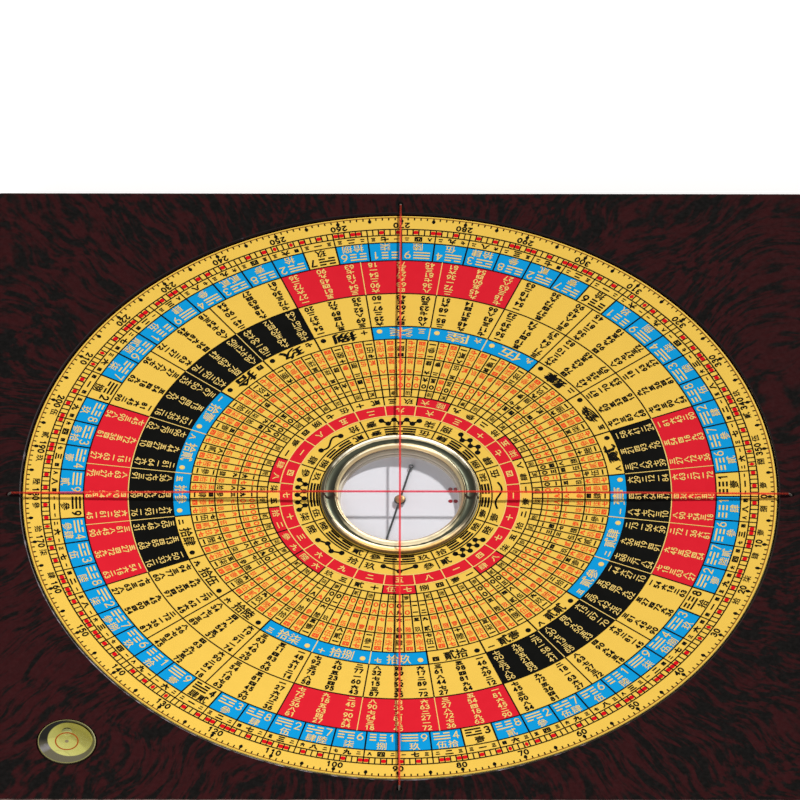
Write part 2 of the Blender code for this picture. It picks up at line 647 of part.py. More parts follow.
def make_cap(finish, axis):
    """A domed cap on a stem. It is hollow from below, and the jewel sits in its ceiling."""
    inside = CAP_STEM_RADIUS - CAP_WALL
    rise = CAP_TOP_Z - CAP_SHOULDER_Z
    dome = []
    steps = ARC_STEPS * 2
    for step in range(steps + 1):
        angle = math.pi / 2 * step / steps
        dome.append((CAP_RADIUS * math.sin(angle), CAP_SHOULDER_Z + rise * math.cos(angle)))
    dome[0] = (0.0, CAP_TOP_Z)
    profile = dome + [
        (CAP_STEM_RADIUS, CAP_SHOULDER_Z),
        (CAP_STEM_RADIUS, CAP_UNDER_Z),
        (inside, CAP_UNDER_Z),
        (inside, CAP_CEILING_Z),
        (0.0, CAP_CEILING_Z),
    ]
    add_object("needle_cap", turned_mesh("needle_cap", profile, SMALL_SIDES), finish, axis)


def make_jewel(finish, axis):
    profile = [
        (0.0, JEWEL_TOP_Z),
        (JEWEL_RADIUS, JEWEL_TOP_Z),
        (JEWEL_RADIUS, JEWEL_UNDER_Z),
        (JEWEL_CUP_RADIUS, JEWEL_UNDER_Z),
        (0.0, JEWEL_CUP_Z),
    ]
    add_object("needle_jewel", turned_mesh("needle_jewel", profile, FINE_SIDES), finish, axis)


def half_route(over_z):
    """One end of a thread as (reach, height): up from its plug, round the hole's rim, and along to
    the bezel's lip, at the height at which this thread crosses the dial."""
    turn_z = THREAD_EDGE_Z - THREAD_BEND
    route = [(THREAD_REACH, THREAD_END_Z)]
    route += arc((THREAD_REACH - THREAD_BEND, turn_z), THREAD_BEND, 0, 90, ARC_STEPS * 2)
    route.append((BEZEL_RADIUS, over_z))
    return route


def make_thread(name, finish, over_z, turn):
    curve = bpy.data.curves.new(name, "CURVE")
    curve.dimensions = "3D"
    curve.bevel_depth = THREAD_RADIUS
    curve.bevel_resolution = 2
    curve.use_fill_caps = True
    half = half_route(over_z)
    route = half + [(-reach, height) for reach, height in reversed(half)]
    spline = curve.splines.new("POLY")
    spline.points.add(len(route) - 1)
    for point, (reach, height) in zip(spline.points, route):
        point.co = (reach, 0.0, height, 1.0)
    add_object(name, curve, finish, turn=turn)


def make_plugs(finish):
    profile = [
        (PLUG_BORE_RADIUS, PLUG_TOP_Z),
        (PLUG_RADIUS - PLUG_TAPER - PLUG_CHAMFER, PLUG_TOP_Z),
        (PLUG_RADIUS - PLUG_TAPER, PLUG_TOP_Z - PLUG_CHAMFER),
        (PLUG_RADIUS, PLUG_UNDER_Z),
        (PLUG_BORE_RADIUS, PLUG_UNDER_Z),
    ]
    mesh = turned_mesh("thread_plug", profile, FINE_SIDES)
    mesh.materials.append(finish)
    for name, place in thread_places():
        add_object("thread_plug_" + name, mesh, None, place=place)


def make_level(finishes):
    """A clear cap, open below, over a coloured floor disc. The window is hollowed underneath, so that
    the bubble seeks its centre."""
    cap_profile = [
        (0.0, LEVEL_TOP_Z),
        (LEVEL_RADIUS - LEVEL_EDGE_BEVEL, LEVEL_TOP_Z),
        (LEVEL_RADIUS, LEVEL_TOP_Z - LEVEL_EDGE_BEVEL),
        (LEVEL_RADIUS, LEVEL_UNDER_Z),
        (LEVEL_CAVITY_RADIUS, LEVEL_UNDER_Z),
    ]
    for step in range(ARC_STEPS + 1):
        across = 1.0 - step / ARC_STEPS
        ceiling_z = LEVEL_CAVITY_TOP_Z + LEVEL_WINDOW_HOLLOW * (1.0 - across**2)
        cap_profile.append((LEVEL_CAVITY_RADIUS * across, ceiling_z))
    cap = turned_mesh("level_cap", cap_profile, SMALL_SIDES * 2)
    add_object("level_cap", cap, finishes["acrylic"], place=LEVEL_PLACE)
    floor_radius = LEVEL_CAVITY_RADIUS - LEVEL_FIT
    floor_profile = [
        (0.0, LEVEL_FLOOR_TOP_Z),
        (floor_radius, LEVEL_FLOOR_TOP_Z),
        (floor_radius, LEVEL_FLOOR_UNDER_Z),
        (0.0, LEVEL_FLOOR_UNDER_Z),
    ]
    floor = turned_mesh("level_floor", floor_profile, SMALL_SIDES * 2)
    add_object("level_floor", floor, finishes["level"], place=LEVEL_PLACE)


def make_bubble(finish):
    """A flattened bubble at the far side of the level, where the board's tilt has sent it."""
    place = LEVEL_PLACE + Vector((0.0, BUBBLE_TRAVEL, 0.0))
    axis = add_axis("bubble_axis", place)
    profile = []
    for step in range(ARC_STEPS * 2 + 1):
        angle = math.pi * step / (ARC_STEPS * 2)
        height = BUBBLE_Z + BUBBLE_HEIGHT / 2 * math.cos(angle)
        profile.append((BUBBLE_RADIUS * math.sin(angle), height))
    profile[0] = (0.0, BUBBLE_Z + BUBBLE_HEIGHT / 2)
    profile[-1] = (0.0, BUBBLE_Z - BUBBLE_HEIGHT / 2)
    add_object("level_bubble", turned_mesh("level_bubble", profile, FINE_SIDES), finish, axis)


def build():
    clear_scene()
    finishes = make_materials()
    make_board(finishes["board"])
    make_slip_ring(finishes["slip"])
    make_bush(finishes["bush"])

    dial_axis = add_axis("dial_axis")
    make_plate(finishes["plate"], dial_axis)
    make_core(finishes["core"], dial_axis)
    make_cup(finishes["brass"], dial_axis)
    make_bezel(finishes["brass"], dial_axis)
    make_crystal(finishes["crystal"], dial_axis)
    make_gasket(finishes["gasket"], dial_axis)
    make_card(finishes["card"], dial_axis)
    make_pin(finishes["steel"], dial_axis)
    make_washer(finishes["brass"], dial_axis)
    make_nut(finishes["brass"], dial_axis)

    needle_axis = add_axis("needle_axis", parent=dial_axis, turn=NEEDLE_HEADING)
    make_blade(finishes["steel"], needle_axis)
    make_cap(finishes["brass"], needle_axis)
    make_jewel(finishes["jewel"], needle_axis)

    make_thread("thread_across", finishes["thread"], THREAD_LOW_Z, 0.0)
    make_thread("thread_along", finishes["thread"], THREAD_HIGH_Z, math.pi / 2)
    make_plugs(finishes["plug"])
    make_level(finishes)
    make_bubble(finishes["bubble"])


build()
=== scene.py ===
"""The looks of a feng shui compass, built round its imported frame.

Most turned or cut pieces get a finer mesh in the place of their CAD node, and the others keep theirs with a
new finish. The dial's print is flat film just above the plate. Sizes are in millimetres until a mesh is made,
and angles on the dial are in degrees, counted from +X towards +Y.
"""
import math

import bmesh
import bpy
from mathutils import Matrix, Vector


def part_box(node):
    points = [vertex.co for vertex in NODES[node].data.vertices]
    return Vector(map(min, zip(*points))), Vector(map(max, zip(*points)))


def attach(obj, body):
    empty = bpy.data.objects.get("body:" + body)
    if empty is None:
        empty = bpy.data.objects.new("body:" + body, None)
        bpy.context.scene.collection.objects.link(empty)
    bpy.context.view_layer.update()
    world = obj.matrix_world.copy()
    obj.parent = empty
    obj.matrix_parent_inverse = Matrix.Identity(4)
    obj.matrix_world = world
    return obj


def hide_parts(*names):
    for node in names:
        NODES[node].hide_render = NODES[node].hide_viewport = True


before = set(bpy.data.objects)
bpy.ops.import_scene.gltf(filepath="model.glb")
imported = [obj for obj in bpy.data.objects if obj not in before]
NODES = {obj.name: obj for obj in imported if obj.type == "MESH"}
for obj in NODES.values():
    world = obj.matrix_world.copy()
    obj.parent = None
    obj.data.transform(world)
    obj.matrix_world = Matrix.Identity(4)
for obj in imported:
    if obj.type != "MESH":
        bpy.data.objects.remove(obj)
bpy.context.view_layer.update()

MM = 0.001


def top(node):
    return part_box(node)[1].z / MM


def under(node):
    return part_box(node)[0].z / MM


def reach(node):
    """How far a node goes along +X, which on a turned piece is its radius."""
    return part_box(node)[1].x / MM


def middle_of(node):
    """The middle of a node's box across, as X and Y."""
    low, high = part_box(node)
    return (low.x + high.x) / 2 / MM, (low.y + high.y) / 2 / MM


# The photograph's view, in its own pixels
FRAME_PX = 800
PX_PER_MM = 4.08
DIAL_CENTRE_PX = (399.9, 495.2)
ELEVATION = 48.1
AZIMUTH = 0.1
LENS = 1600.0
SENSOR = 36.0

# Light: the share that comes from all round, and the lamp's way down
AMBIENT = 0.15
DIRECT = 0.63
LAMP_TRAVEL = (-0.72, -1.50, -1.0)
LAMP_SIZE = 3.5
FILL_AT = (-0.22, -0.34, 0.26)
FILL_WATTS = 0.9
FILL_SIZE = 0.3
SEEING_RAYS = ("Is Camera Ray", "Is Glossy Ray", "Is Transmission Ray")

# Steps round a turned piece
DIAL_STEPS = 384
CAPSULE_STEPS = 160
SMALL_STEPS = 64
LEVEL_STEPS = 96

# Board and dial
BOARD_HALF = reach("base_board")
BOARD_TOP = top("base_board")
BOARD_CORNER = 1.5
BOARD_ROUND = 0.8
DIAL_R = reach("dial_plate")
FACE = top("dial_plate")
PLATE_UNDER = under("dial_plate")
BORE_R = 17.9
PLATE_ROUND = 0.4
RECESS_R = DIAL_R + 0.35
RECESS_FLOOR = under("dial_core") - 0.8
RECESS_EDGE = 0.45
OVERRUN = 1.0

# Print: the heights that an ink's strokes take in turn, and how far the dial is turned in the photograph
LAYERS = 8
LAYER_STEP = 0.001
PRINT_TURN = -0.18


def linear(value):
    value /= 255.0
    return value / 12.92 if value <= 0.04045 else ((value + 0.055) / 1.055) ** 2.4


def colour_of(red, green, blue):
    return (linear(red), linear(green), linear(blue), 1.0)


YELLOW = colour_of(247, 203, 86)
BLUE = colour_of(8, 158, 224)
RED = colour_of(227, 32, 48)
BLACK = colour_of(6, 6, 4)
PALE = colour_of(250, 214, 122)
MARK_RED = colour_of(226, 14, 28)
ORANGE = colour_of(248, 84, 40)
BROWN = colour_of(158, 108, 40)
WHITE = (1.0, 1.0, 1.0, 1.0)

# Burl: where its streaks begin to run outwards, and for each layer of grain how fast it changes across
# and along the streaks, and how far these wander
BURL_CORE = 60.0
BURL_LAYERS = ((92.0, 0.17, 46.0), (40.0, 0.09, 26.0))


# Materials

class Value:
    """A number or colour that varies over a surface. Sums with it make math nodes."""

    def __init__(self, socket):
        self.socket = socket

    def __add__(self, other):
        return calc("ADD", self, other)

    def __sub__(self, other):
        return calc("SUBTRACT", self, other)

    def __rsub__(self, other):
        return calc("SUBTRACT", other, self)

    def __mul__(self, other):
        return calc("MULTIPLY", self, other)

    def __truediv__(self, other):
        return calc("DIVIDE", self, other)

    def spread(self, low, high, source_low=0.3, source_high=0.7):
        """From low to high while this goes from one source value to the other, and level beyond them."""
        node = add_node(self.socket.id_data, "ShaderNodeMapRange")
        names = ("Value", "From Min", "From Max", "To Min", "To Max")
        for name, value in zip(names, (self, source_low, source_high, low, high)):
            feed(node.inputs[name], value)
        return Value(node.outputs["Result"])

    def rise(self, start=0.3, end=0.7):
        return self.spread(0.0, 1.0, start, end)

    def blend(self, first, second):
        """The first colour where this is 0, and the second where it is 1."""
        node = add_node(self.socket.id_data, "ShaderNodeMix", data_type="RGBA")
        for index, value in ((0, self), (6, first), (7, second)):
            feed(node.inputs[index], value)
        return Value(node.outputs[2])


def feed(socket, value):
    """Links a value to a socket, or sets the socket to a plain number or colour."""
    if isinstance(value, Value):
        socket.id_data.links.new(value.socket, socket)
    else:
        socket.default_value = value


def calc(operation, *values):
    tree = next(value.socket.id_data for value in values if isinstance(value, Value))
    node = add_node(tree, "ShaderNodeMath", operation=operation)
    for socket, value in zip(node.inputs, values):
        feed(socket, value)
    return Value(node.outputs[0])


def add_node(tree, kind, **values):
    node = tree.nodes.new(kind)
    for key, value in values.items():
        setattr(node, key, value)
    return node


def new_material(name):
    made = bpy.data.materials.new(name)
    made.use_nodes = True
    tree = made.node_tree
    return made, tree, tree.nodes["Principled BSDF"]


def set_shader(shader, colour, roughness, specular=0.5, metallic=0.0):
    values = (colour, roughness, specular, metallic)
    for name, value in zip(("Base Color", "Roughness", "Specular IOR Level", "Metallic"), values):
        feed(shader.inputs[name], value)


def set_glow(shader, colour, strength):
    feed(shader.inputs["Emission Color"], colour)
    feed(shader.inputs["Emission Strength"], strength)


def own_place(tree):
    return add_node(tree, "ShaderNodeTexCoord").outputs["Object"]


def noise(tree, scale, detail=3.0, coordinates=None):
    """A noise in the piece's own space. Its scale is in features per millimetre."""
    node = add_node(tree, "ShaderNodeTexNoise")
    node.inputs["Scale"].default_value = scale / MM
    node.inputs["Detail"].default_value = detail
    tree.links.new(coordinates or own_place(tree), node.inputs["Vector"])
    return Value(node.outputs["Fac"])


def place_about(tree, centre=(0.0, 0.0)):
    """X, Y and radius in millimetres about a point of the piece, and its height."""
    parts = add_node(tree, "ShaderNodeSeparateXYZ")
    tree.links.new(own_place(tree), parts.inputs[0])
    x, y, height = (Value(output) * (1.0 / MM) for output in parts.outputs)
    x, y = x - centre[0], y - centre[1]
    return x, y, calc("SQRT", x * x + y * y), height


def light_path(tree, *kinds):
    """1 for rays of any of these kinds, or else 0."""
    path = add_node(tree, "ShaderNodeLightPath")
    total = Value(path.outputs[kinds[0]])
    for kind in kinds[1:]:
        total = calc("MAXIMUM", total, Value(path.outputs[kind]))
    return total


def add_bump(tree, shader, height, distance, strength=0.5):
    bump = add_node(tree, "ShaderNodeBump")
    for name, value in (("Strength", strength), ("Distance", distance * MM), ("Height", height)):
        feed(bump.inputs[name], value)
    tree.links.new(bump.outputs["Normal"], shader.inputs["Normal"])


def add_lathe_rings(tree, shader):
    rings = add_node(tree, "ShaderNodeTexWave", wave_type="RINGS", rings_direction="Z")
    rings.inputs["Scale"].default_value = 2.2 / MM
    rings.inputs["Distortion"].default_value = 0.6
    tree.links.new(own_place(tree), rings.inputs["Vector"])
    add_bump(tree, shader, Value(rings.outputs["Fac"]), 0.002, 0.15)


def mix_shaders(tree, share, first, second, output):
    """The first shader where the share is 0 and the second where it is 1, on the output's surface."""
    mixed = add_node(tree, "ShaderNodeMixShader")
    feed(mixed.inputs[0], share)
    tree.links.new(first.outputs[0], mixed.inputs[1])
    tree.links.new(second.outputs[0], mixed.inputs[2])
    tree.links.new(mixed.outputs[0], output.inputs["Surface"])


def let_through(tree, shader, tint, share):
    """Leaves a share of the shader, and for the rest lets through what is behind, in a tint."""
    through = add_node(tree, "ShaderNodeBsdfTransparent")
    through.inputs["Color"].default_value = tint
    mix_shaders(tree, share, through, shader, tree.nodes["Material Output"])


def shaded(colour, factor):
    return (*(min(1.0, channel * factor) for channel in colour[:3]), 1.0)


def plain_material(name, colour, roughness, metallic=0.0, specular=0.5, grain=0.8, variety=0.06, bump=0.004):
    """One colour with a little unevenness in its tone, gloss and surface. Grain is in features per mm."""
    made, tree, shader = new_material(name)
    value = noise(tree, grain)
    tone = value.blend(shaded(colour, 1.0 - variety), shaded(colour, 1.0 + variety))
    set_shader(shader, tone, value.spread(roughness - 0.05, roughness + 0.05), specular, metallic)
    add_bump(tree, shader, noise(tree, grain * 3.0), bump)
    return made


def print_material(name, colour):
    """Print under a satin varnish, which has a faint orange-peel surface."""
    return plain_material(name, colour, 0.42, specular=0.02, grain=0.35, variety=0.035, bump=0.006)


def burl_material():
    """Red and black burl. Its streaks run out from the middle and wander, as burl grain does."""
    made, tree, shader = new_material("lacquered_burl")
    x, y, radius, height = place_about(tree)
    far = calc("MAXIMUM", radius, BURL_CORE)
    bends = [noise(tree, scale, 2.5) for scale in (0.012, 0.017)]
    layers = []
    for across, along, sway in BURL_LAYERS:
        vector = add_node(tree, "ShaderNodeCombineXYZ")
        for axis, (place, bend) in enumerate(zip((x, y), bends)):
            feed(vector.inputs[axis], bend * sway + place / far * across)
        feed(vector.inputs[2], (radius + height) * along)
        layers.append(noise(tree, MM, 2.5, vector.outputs[0]))
    fibres, streaks = layers
    dark = (fibres * 0.65 + streaks * 0.72 + noise(tree, 0.03, 2.0) * 0.30).rise(0.775, 0.91)
    mottle = noise(tree, 0.9, 4.0)
    mahogany = fibres.blend(colour_of(57, 14, 17), colour_of(32, 9, 10))
    ebony = mottle.blend(colour_of(4, 5, 4), colour_of(16, 11, 10))
    set_shader(shader, dark.blend(mahogany, ebony), mottle.spread(0.22, 0.36), 0.04)
    add_bump(tree, shader, streaks, 0.02, 0.2)
    return made


def worn_edge_material(name, first, last, heading, tone):
    """An edge with pale patches, most of all towards a heading in degrees: worn lacquer together with painted
    glints and sheen.
    """
    made, tree, shader = new_material(name)
    x, y, radius, _ = place_about(tree)
    turn = math.radians(heading)
    facing = (x * math.cos(turn) + y * math.sin(turn)) / radius
    patches = (noise(tree, 0.35, 4.0) + facing.spread(-0.16, 0.08, 0.0, 1.0)).rise(first, last)
    set_shader(shader, patches.blend(colour_of(30, 20, 21), tone), patches.spread(0.4, 0.55, 0.0, 1.0), 0.08)
    return made


def metal_material(name, colour, shadow, roughness, grain=0.5):
    """Turned metal with fine lathe rings about its axis and patches of tarnish."""
    made, tree, shader = new_material(name)
    tarnish = noise(tree, grain, 4.0).rise()
    uneven = tarnish.spread(roughness, roughness + 0.12, 0.0, 1.0)
    set_shader(shader, tarnish.blend(colour, shadow), uneven, metallic=1.0)
    add_lathe_rings(tree, shader)
    return made


def toned_metal(name, side, end, roughness, dark=None, band=None, near_end=None):
    """Turned metal with painted reflections: paler at the near and far ends of its rings than at their sides.
    A band (middle radius, half its width, how soon it ends far and near) holds a darker painted reflection
    that runs out towards those ends. The near end can have a tone of its own."""
    made, tree, shader = new_material(name)
    _, y, radius, _ = place_about(tree)
    slant = y / radius
    ends, far = calc("ABSOLUTE", slant), calc("MAXIMUM", slant, 0.0)
    near = ends - far
    if near_end:
        end = near.rise(0.3, 0.85).blend(end, near_end)
    tone = (noise(tree, 0.25) * 0.5 + ends - 0.25).rise(0.42, 0.86).blend(side, end)
    if band:
        middle, half, far_end, near_start = band
        off = calc("ABSOLUTE", radius - middle) / half + far * far_end + near * near_start
        tone = (noise(tree, 0.7) * 0.3 + off).rise(1.08, 1.26).blend(dark, tone)
    set_shader(shader, tone, noise(tree, 0.5).spread(roughness, roughness + 0.12), metallic=1.0)
    add_lathe_rings(tree, shader)
    return made


def clear_material(name, tint, haze):
    """Clear glass or plastic that lets lamps through: see-through, with a gloss and a little haze."""
    made, tree, shader = new_material(name)
    value = noise(tree, 0.3)
    set_shader(shader, value.blend(shaded(tint, 0.96), tint), 0.03)
    edge = add_node(tree, "ShaderNodeFresnel")
    edge.inputs["IOR"].default_value = 1.3
    outside = 1.0 - Value(add_node(tree, "ShaderNodeNewGeometry").outputs["Backfacing"])
    let_through(tree, shader, tint, Value(edge.outputs[0]) * outside + value.spread(haze * 0.8, haze * 1.2))
    return made


# Meshes

def finish_mesh(name, points, faces, slots=None, smooth=40.0):
    mesh = bpy.data.meshes.new(name)
    mesh.from_pydata([(x * MM, y * MM, z * MM) for x, y, z in points], [], faces)
    if slots:
        mesh.polygons.foreach_set("material_index", slots)
    work = bmesh.new()
    work.from_mesh(mesh)
    bmesh.ops.recalc_face_normals(work, faces=work.faces)
    work.to_mesh(mesh)
    work.free()
    smooth_mesh(mesh, smooth)
    return mesh


def smooth_mesh(mesh, sharp_from=35.0):
    mesh.shade_smooth()
    mesh.set_sharp_from_angle(angle=math.radians(sharp_from))


def turned(name, profile, steps, centre=(0.0, 0.0), slot_of=None, smooth=40.0, begin=0.0):
    """Spins a closed (radius, height) profile round Z. slot_of(edge, step) names a face's material."""
    points, faces, slots, rings = [], [], [], []
    for radius, height in profile:
        count = 1 if radius == 0.0 else steps
        rings.append([len(points) + index for index in range(count)])
        for index in range(count):
            angle = math.tau * index / steps + math.radians(begin)
            x = centre[0] + radius * math.cos(angle)
            points.append((x, centre[1] + radius * math.sin(angle), height))
    for edge, (ring, following) in enumerate(zip(rings, rings[1:] + rings[:1])):
        if len(ring) == 1 and len(following) == 1:
            continue
        for step in range(steps):
            after = (step + 1) % steps
            corners = [ring[step % len(ring)], ring[after % len(ring)]]
            corners += [following[after % len(following)], following[step % len(following)]]
            faces.append(tuple(dict.fromkeys(corners)))
            slots.append(slot_of(edge, step) if slot_of else 0)
    return finish_mesh(name, points, faces, slots, smooth)


def loft(name, rows, smooth=40.0):
    """A skin over rows of equally many points, with a flat face at both ends."""
    count, last = len(rows[0]), len(rows[0]) * (len(rows) - 1)
    faces = []
    for low in range(0, last, count):
        for index in range(count):
            after = (index + 1) % count
            faces.append((low + index, low + after, low + count + after, low + count + index))
    faces += [tuple(range(count)), tuple(range(last, last + count))]
    return finish_mesh(name, sum(rows, []), faces, smooth=smooth)


def bow(x, y, wide, tall, start, end, steps=8):
    """Points on an arc of an ellipse, given by its centre and half its width and height."""
    angles = [math.radians(start + (end - start) * step / steps) for step in range(steps + 1)]
    return tuple((x + wide * math.cos(a), y + tall * math.sin(a)) for a in angles)


def arc(centre, radius, start, end, steps):
    return list(bow(*centre, radius, radius, start, end, steps))


def stairs(radius, height, *turns):
    """A profile's points from a first one on, by a path that goes in turn across and up or down."""
    points = [(radius, height)]
    for index, place in enumerate(turns):
        radius, height = (radius, place) if index % 2 else (place, height)
        points.append((radius, height))
    return points


def ring(inner, outer, low, high):
    return [(outer, low), (outer, high), (inner, high), (inner, low)]


def place_object(name, data):
    made = bpy.data.objects.new(name, data)
    bpy.context.collection.objects.link(made)
    return made


def add_piece(name, mesh, body, materials, replaced=()):
    piece = place_object(name, mesh)
    for material in materials:
        mesh.materials.append(material)
    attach(piece, body)
    if replaced:
        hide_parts(*replaced)
    return piece


def add_turned(name, profile, steps, body, slot, materials, replaced=(), **shape):
    return add_piece(name, turned(name, profile, steps, **shape), body, materials, replaced)


def dress(name, material):
    """Gives a CAD node its finish and smooth shading."""
    mesh = NODES[name].data
    mesh.materials.clear()
    mesh.materials.append(material)
    smooth_mesh(mesh)


# Print on the dial

# Each ink's colour, its height above the face, a factor on its strokes' width, and how far apart a formal
# numeral's two copies lie for each millimetre that it is wider than 1.2 mm
INKS = {
    "black": (BLACK, 0.03, 1.27, 0.075),
    "pale": (PALE, 0.04, 0.9, 0.0),
    "red": (MARK_RED, 0.02, 1.0, 0.0),
    "orange": (ORANGE, 0.02, 1.05, 0.0),
    "brown": (BROWN, 0.02, 1.0, 0.0),
}
inks = {name: ([], [], []) for name in INKS}
shapes = {}

FORMAL_BOX = (0.04, 0.97, -0.08, 0.84)
SIMPLE = "一二三四五六七八九十"
DIGITS = "〇" + SIMPLE
FORMAL = "壹貳參肆伍陸柒捌玖拾"


# Figures and simple numerals as strokes in a box from 0 to 1, the right way up
STROKES = {
    "0": [bow(0.5, 0.5, 0.5, 0.5, 0, 360, 12)],
    "1": [((0.2, 0.78), (0.56, 1.0), (0.56, 0.0))],
    "2": [bow(0.48, 0.7, 0.46, 0.3, 165, -25, 7) + ((0.04, 0.0), (1.0, 0.0))],
    "3": [bow(0.46, 0.75, 0.44, 0.25, 150, -90, 7), bow(0.46, 0.27, 0.5, 0.27, 90, -150, 8)],
    "4": [((0.72, 0.0), (0.72, 1.0), (0.0, 0.3), (1.0, 0.3))],
    "5": [((0.9, 1.0), (0.2, 1.0), (0.12, 0.55)) + bow(0.46, 0.32, 0.5, 0.32, 120, -140)],
    "6": [bow(0.5, 0.31, 0.5, 0.31, 0, 360, 10), ((0.02, 0.36), (0.25, 0.75), (0.75, 1.0))],
    "7": [((0.0, 1.0), (1.0, 1.0), (0.38, 0.0))],
    "8": [bow(0.5, 0.76, 0.4, 0.24, 0, 360, 9), bow(0.5, 0.27, 0.5, 0.27, 0, 360, 10)],
    "9": [bow(0.5, 0.69, 0.5, 0.31, 0, 360, 10), ((0.98, 0.64), (0.75, 0.25), (0.25, 0.0))],
    "一": [((0.0, 0.5), (1.0, 0.5))],
    "二": [((0.15, 0.85), (0.85, 0.85)), ((0.0, 0.15), (1.0, 0.15))],
    "三": [((0.1, 0.95), (0.9, 0.95)), ((0.18, 0.5), (0.82, 0.5)), ((0.0, 0.05), (1.0, 0.05))],
    "四": [((0.05, 0.92), (0.95, 0.92), (0.95, 0.08), (0.05, 0.08), (0.05, 0.92)),
          ((0.36, 0.92), (0.33, 0.5), (0.2, 0.35)), ((0.64, 0.92), (0.64, 0.42), (0.85, 0.42))],
    "五": [((0.1, 0.95), (0.9, 0.95)), ((0.46, 0.95), (0.32, 0.05)),
          ((0.12, 0.55), (0.8, 0.55), (0.76, 0.05)), ((0.0, 0.05), (1.0, 0.05))],
    "六": [((0.42, 1.0), (0.58, 0.8)), ((0.0, 0.64), (1.0, 0.64)),
          ((0.34, 0.46), (0.08, 0.0)), ((0.64, 0.46), (0.94, 0.0))],
    "七": [((0.0, 0.5), (1.0, 0.66)), ((0.44, 1.0), (0.44, 0.12), (0.56, 0.04), (0.9, 0.04), (0.96, 0.24))],
    "八": [((0.36, 0.88), (0.28, 0.4), (0.0, 0.02)), ((0.56, 0.94), (0.72, 0.4), (1.0, 0.02))],
    "九": [((0.06, 0.68), (0.7, 0.68), (0.68, 0.14), (0.78, 0.04), (0.94, 0.04), (1.0, 0.24)),
          ((0.4, 1.0), (0.36, 0.45), (0.02, 0.0))],
    "十": [((0.0, 0.55), (1.0, 0.55)), ((0.5, 1.0), (0.5, 0.0))],
    "〇": [bow(0.5, 0.5, 0.45, 0.5, 0, 360, 12)],
}

# Ring radii, outwards
CAPSULE_RING = 19.85
LINES_RING = 22.6
FIGURES_RING = 26.2
RED_RING = 29.6
PAIRS_RING = 32.5
MARKS_RING = 35.0
TENS_RING = 39.8
BOLD_RING = 45.4
GRID_RING = 51.5
NAMES_RING = 55.7
INNER_NUMBERS_RING = 66.6
OUTER_NUMBERS_RING = 77.55
HOUSES_RING = 83.5
CELLS_RING = 85.95
DASHES_RING = 87.93
FIVES_RING = 90.7
BASELINE = 91.8

HOUSE_ORDER = (1, 6, 7, 2, 8, 3, 4, 9)
HOUSE_SPAN = 5.625
SECTOR_SPAN = 15.0
SECTOR_START = 7.5
COLUMN_SPAN = 3.0
COLUMN_START = 1.5

FINE_LINE = 0.31
THIN_LINE = 0.33
THICK_LINE = 0.40
NUMBERS_PALE_LINE = 0.21
HALVES_PALE_LINE = 0.24
NAMES_PALE_LINE = 0.26
PAIRS_PALE_LINE = 0.28

DEGREES_PITCH = 1.42
NUMBERS_PITCH = 1.25

# Rows of characters: their middle's radius, one character's width and height, and its strokes' weight
DEGREES_ROW = (89.25, 1.3, 1.8, 0.3)
WORDS_ROW = (89.2, 2.0, 1.8, 0.24)
CELLS_ROW = ((HOUSES_RING + CELLS_RING) / 2, 2.1, 1.75, 0.3)
SMALL_CELLS_ROW = (CELLS_ROW[0], 1.15, 1.25, 0.23)
HOUSES_ROW = (82.1, 2.5, 2.3, 0.24)
HOUSE_FIGURES_ROW = (79.4, 1.6, 2.45, 0.31)
ODD_FIGURES_ROW = (79.4, 1.6, 2.45, 0.34)
SMALL_NAMES_ROW = (54.3, 1.8, 1.6, 0.28)
GRID_ROWS = (
    (50.3, 1.8, 1.45, 0.3), (48.4, 1.85, 1.95, 0.24), (46.3, 1.6, 1.3, 0.28), (44.1, 1.5, 1.7, 0.24),
    (44.1, 1.3, 1.5, 0.24), (40.9, 1.5, 1.2, 0.24), (38.5, 1.4, 1.5, 0.28), (36.3, 1.35, 1.45, 0.28),
)
MARKS_ROW = (33.75, 1.25, 1.4, 0.24)
PAIRS_ROW = (30.95, 2.3, 1.75, 0.24)
SMALL_PAIRS_ROW = (30.95, 2.1, 1.65, 0.28)
RED_RING_ROW = (27.8, 2.0, 1.8, 0.3)
FIGURES_ROW = (24.3, 2.6, 2.1, 0.24)
LINES_ROW = (21.2, 2.7, 1.7, 0.24)

# A trigram's three lines, outwards
HOUSE_LINES_AT = (78.45, 79.35, 80.25)
SECTION_LINES_AT = (20.35, 21.1, 21.85)


def on_dial(radius, degrees, right=0.0, up=0.0):
    """A place on the dial, moved along the ring and towards the centre, which is a glyph's up."""
    angle = math.radians(degrees + PRINT_TURN)
    out = radius - up
    along_x = out * math.cos(angle) - right * math.sin(angle)
    return along_x, out * math.sin(angle) + right * math.cos(angle)


def ink(colour, points, faces):
    """Adds a stroke. Each lies a hair above or below the one before, so that crossing strokes stay clean."""
    kept, made, calls = inks[colour]
    start, rise = len(kept), len(calls) % LAYERS * LAYER_STEP
    calls.append(start)
    kept.extend((x, y, rise) for x, y in points)
    made.extend(tuple(start + corner for corner in face) for face in faces)


def ink_face(colour, points):
    ink(colour, points, [tuple(range(len(points)))])


def ink_strip(colour, points):
    """A strip whose points lie in pairs, one on each of its sides."""
    ink(colour, points, [(low, low + 1, low + 3, low + 2) for low in range(0, len(points) - 2, 2)])


def draw_arc(colour, radius, width, start=0.0, end=360.0):
    steps = max(2, round((end - start) * radius / 60.0))
    points = []
    for step in range(steps + 1):
        degrees = start + (end - start) * step / steps
        points += [on_dial(radius - width / 2, degrees), on_dial(radius + width / 2, degrees)]
    ink_strip(colour, points)


def draw_spoke(colour, degrees, inner, outer, width=THIN_LINE):
    half = width / 2
    corners = ((inner, -half), (outer, -half), (outer, half), (inner, half))
    ink_face(colour, [on_dial(radius, degrees, right) for radius, right in corners])


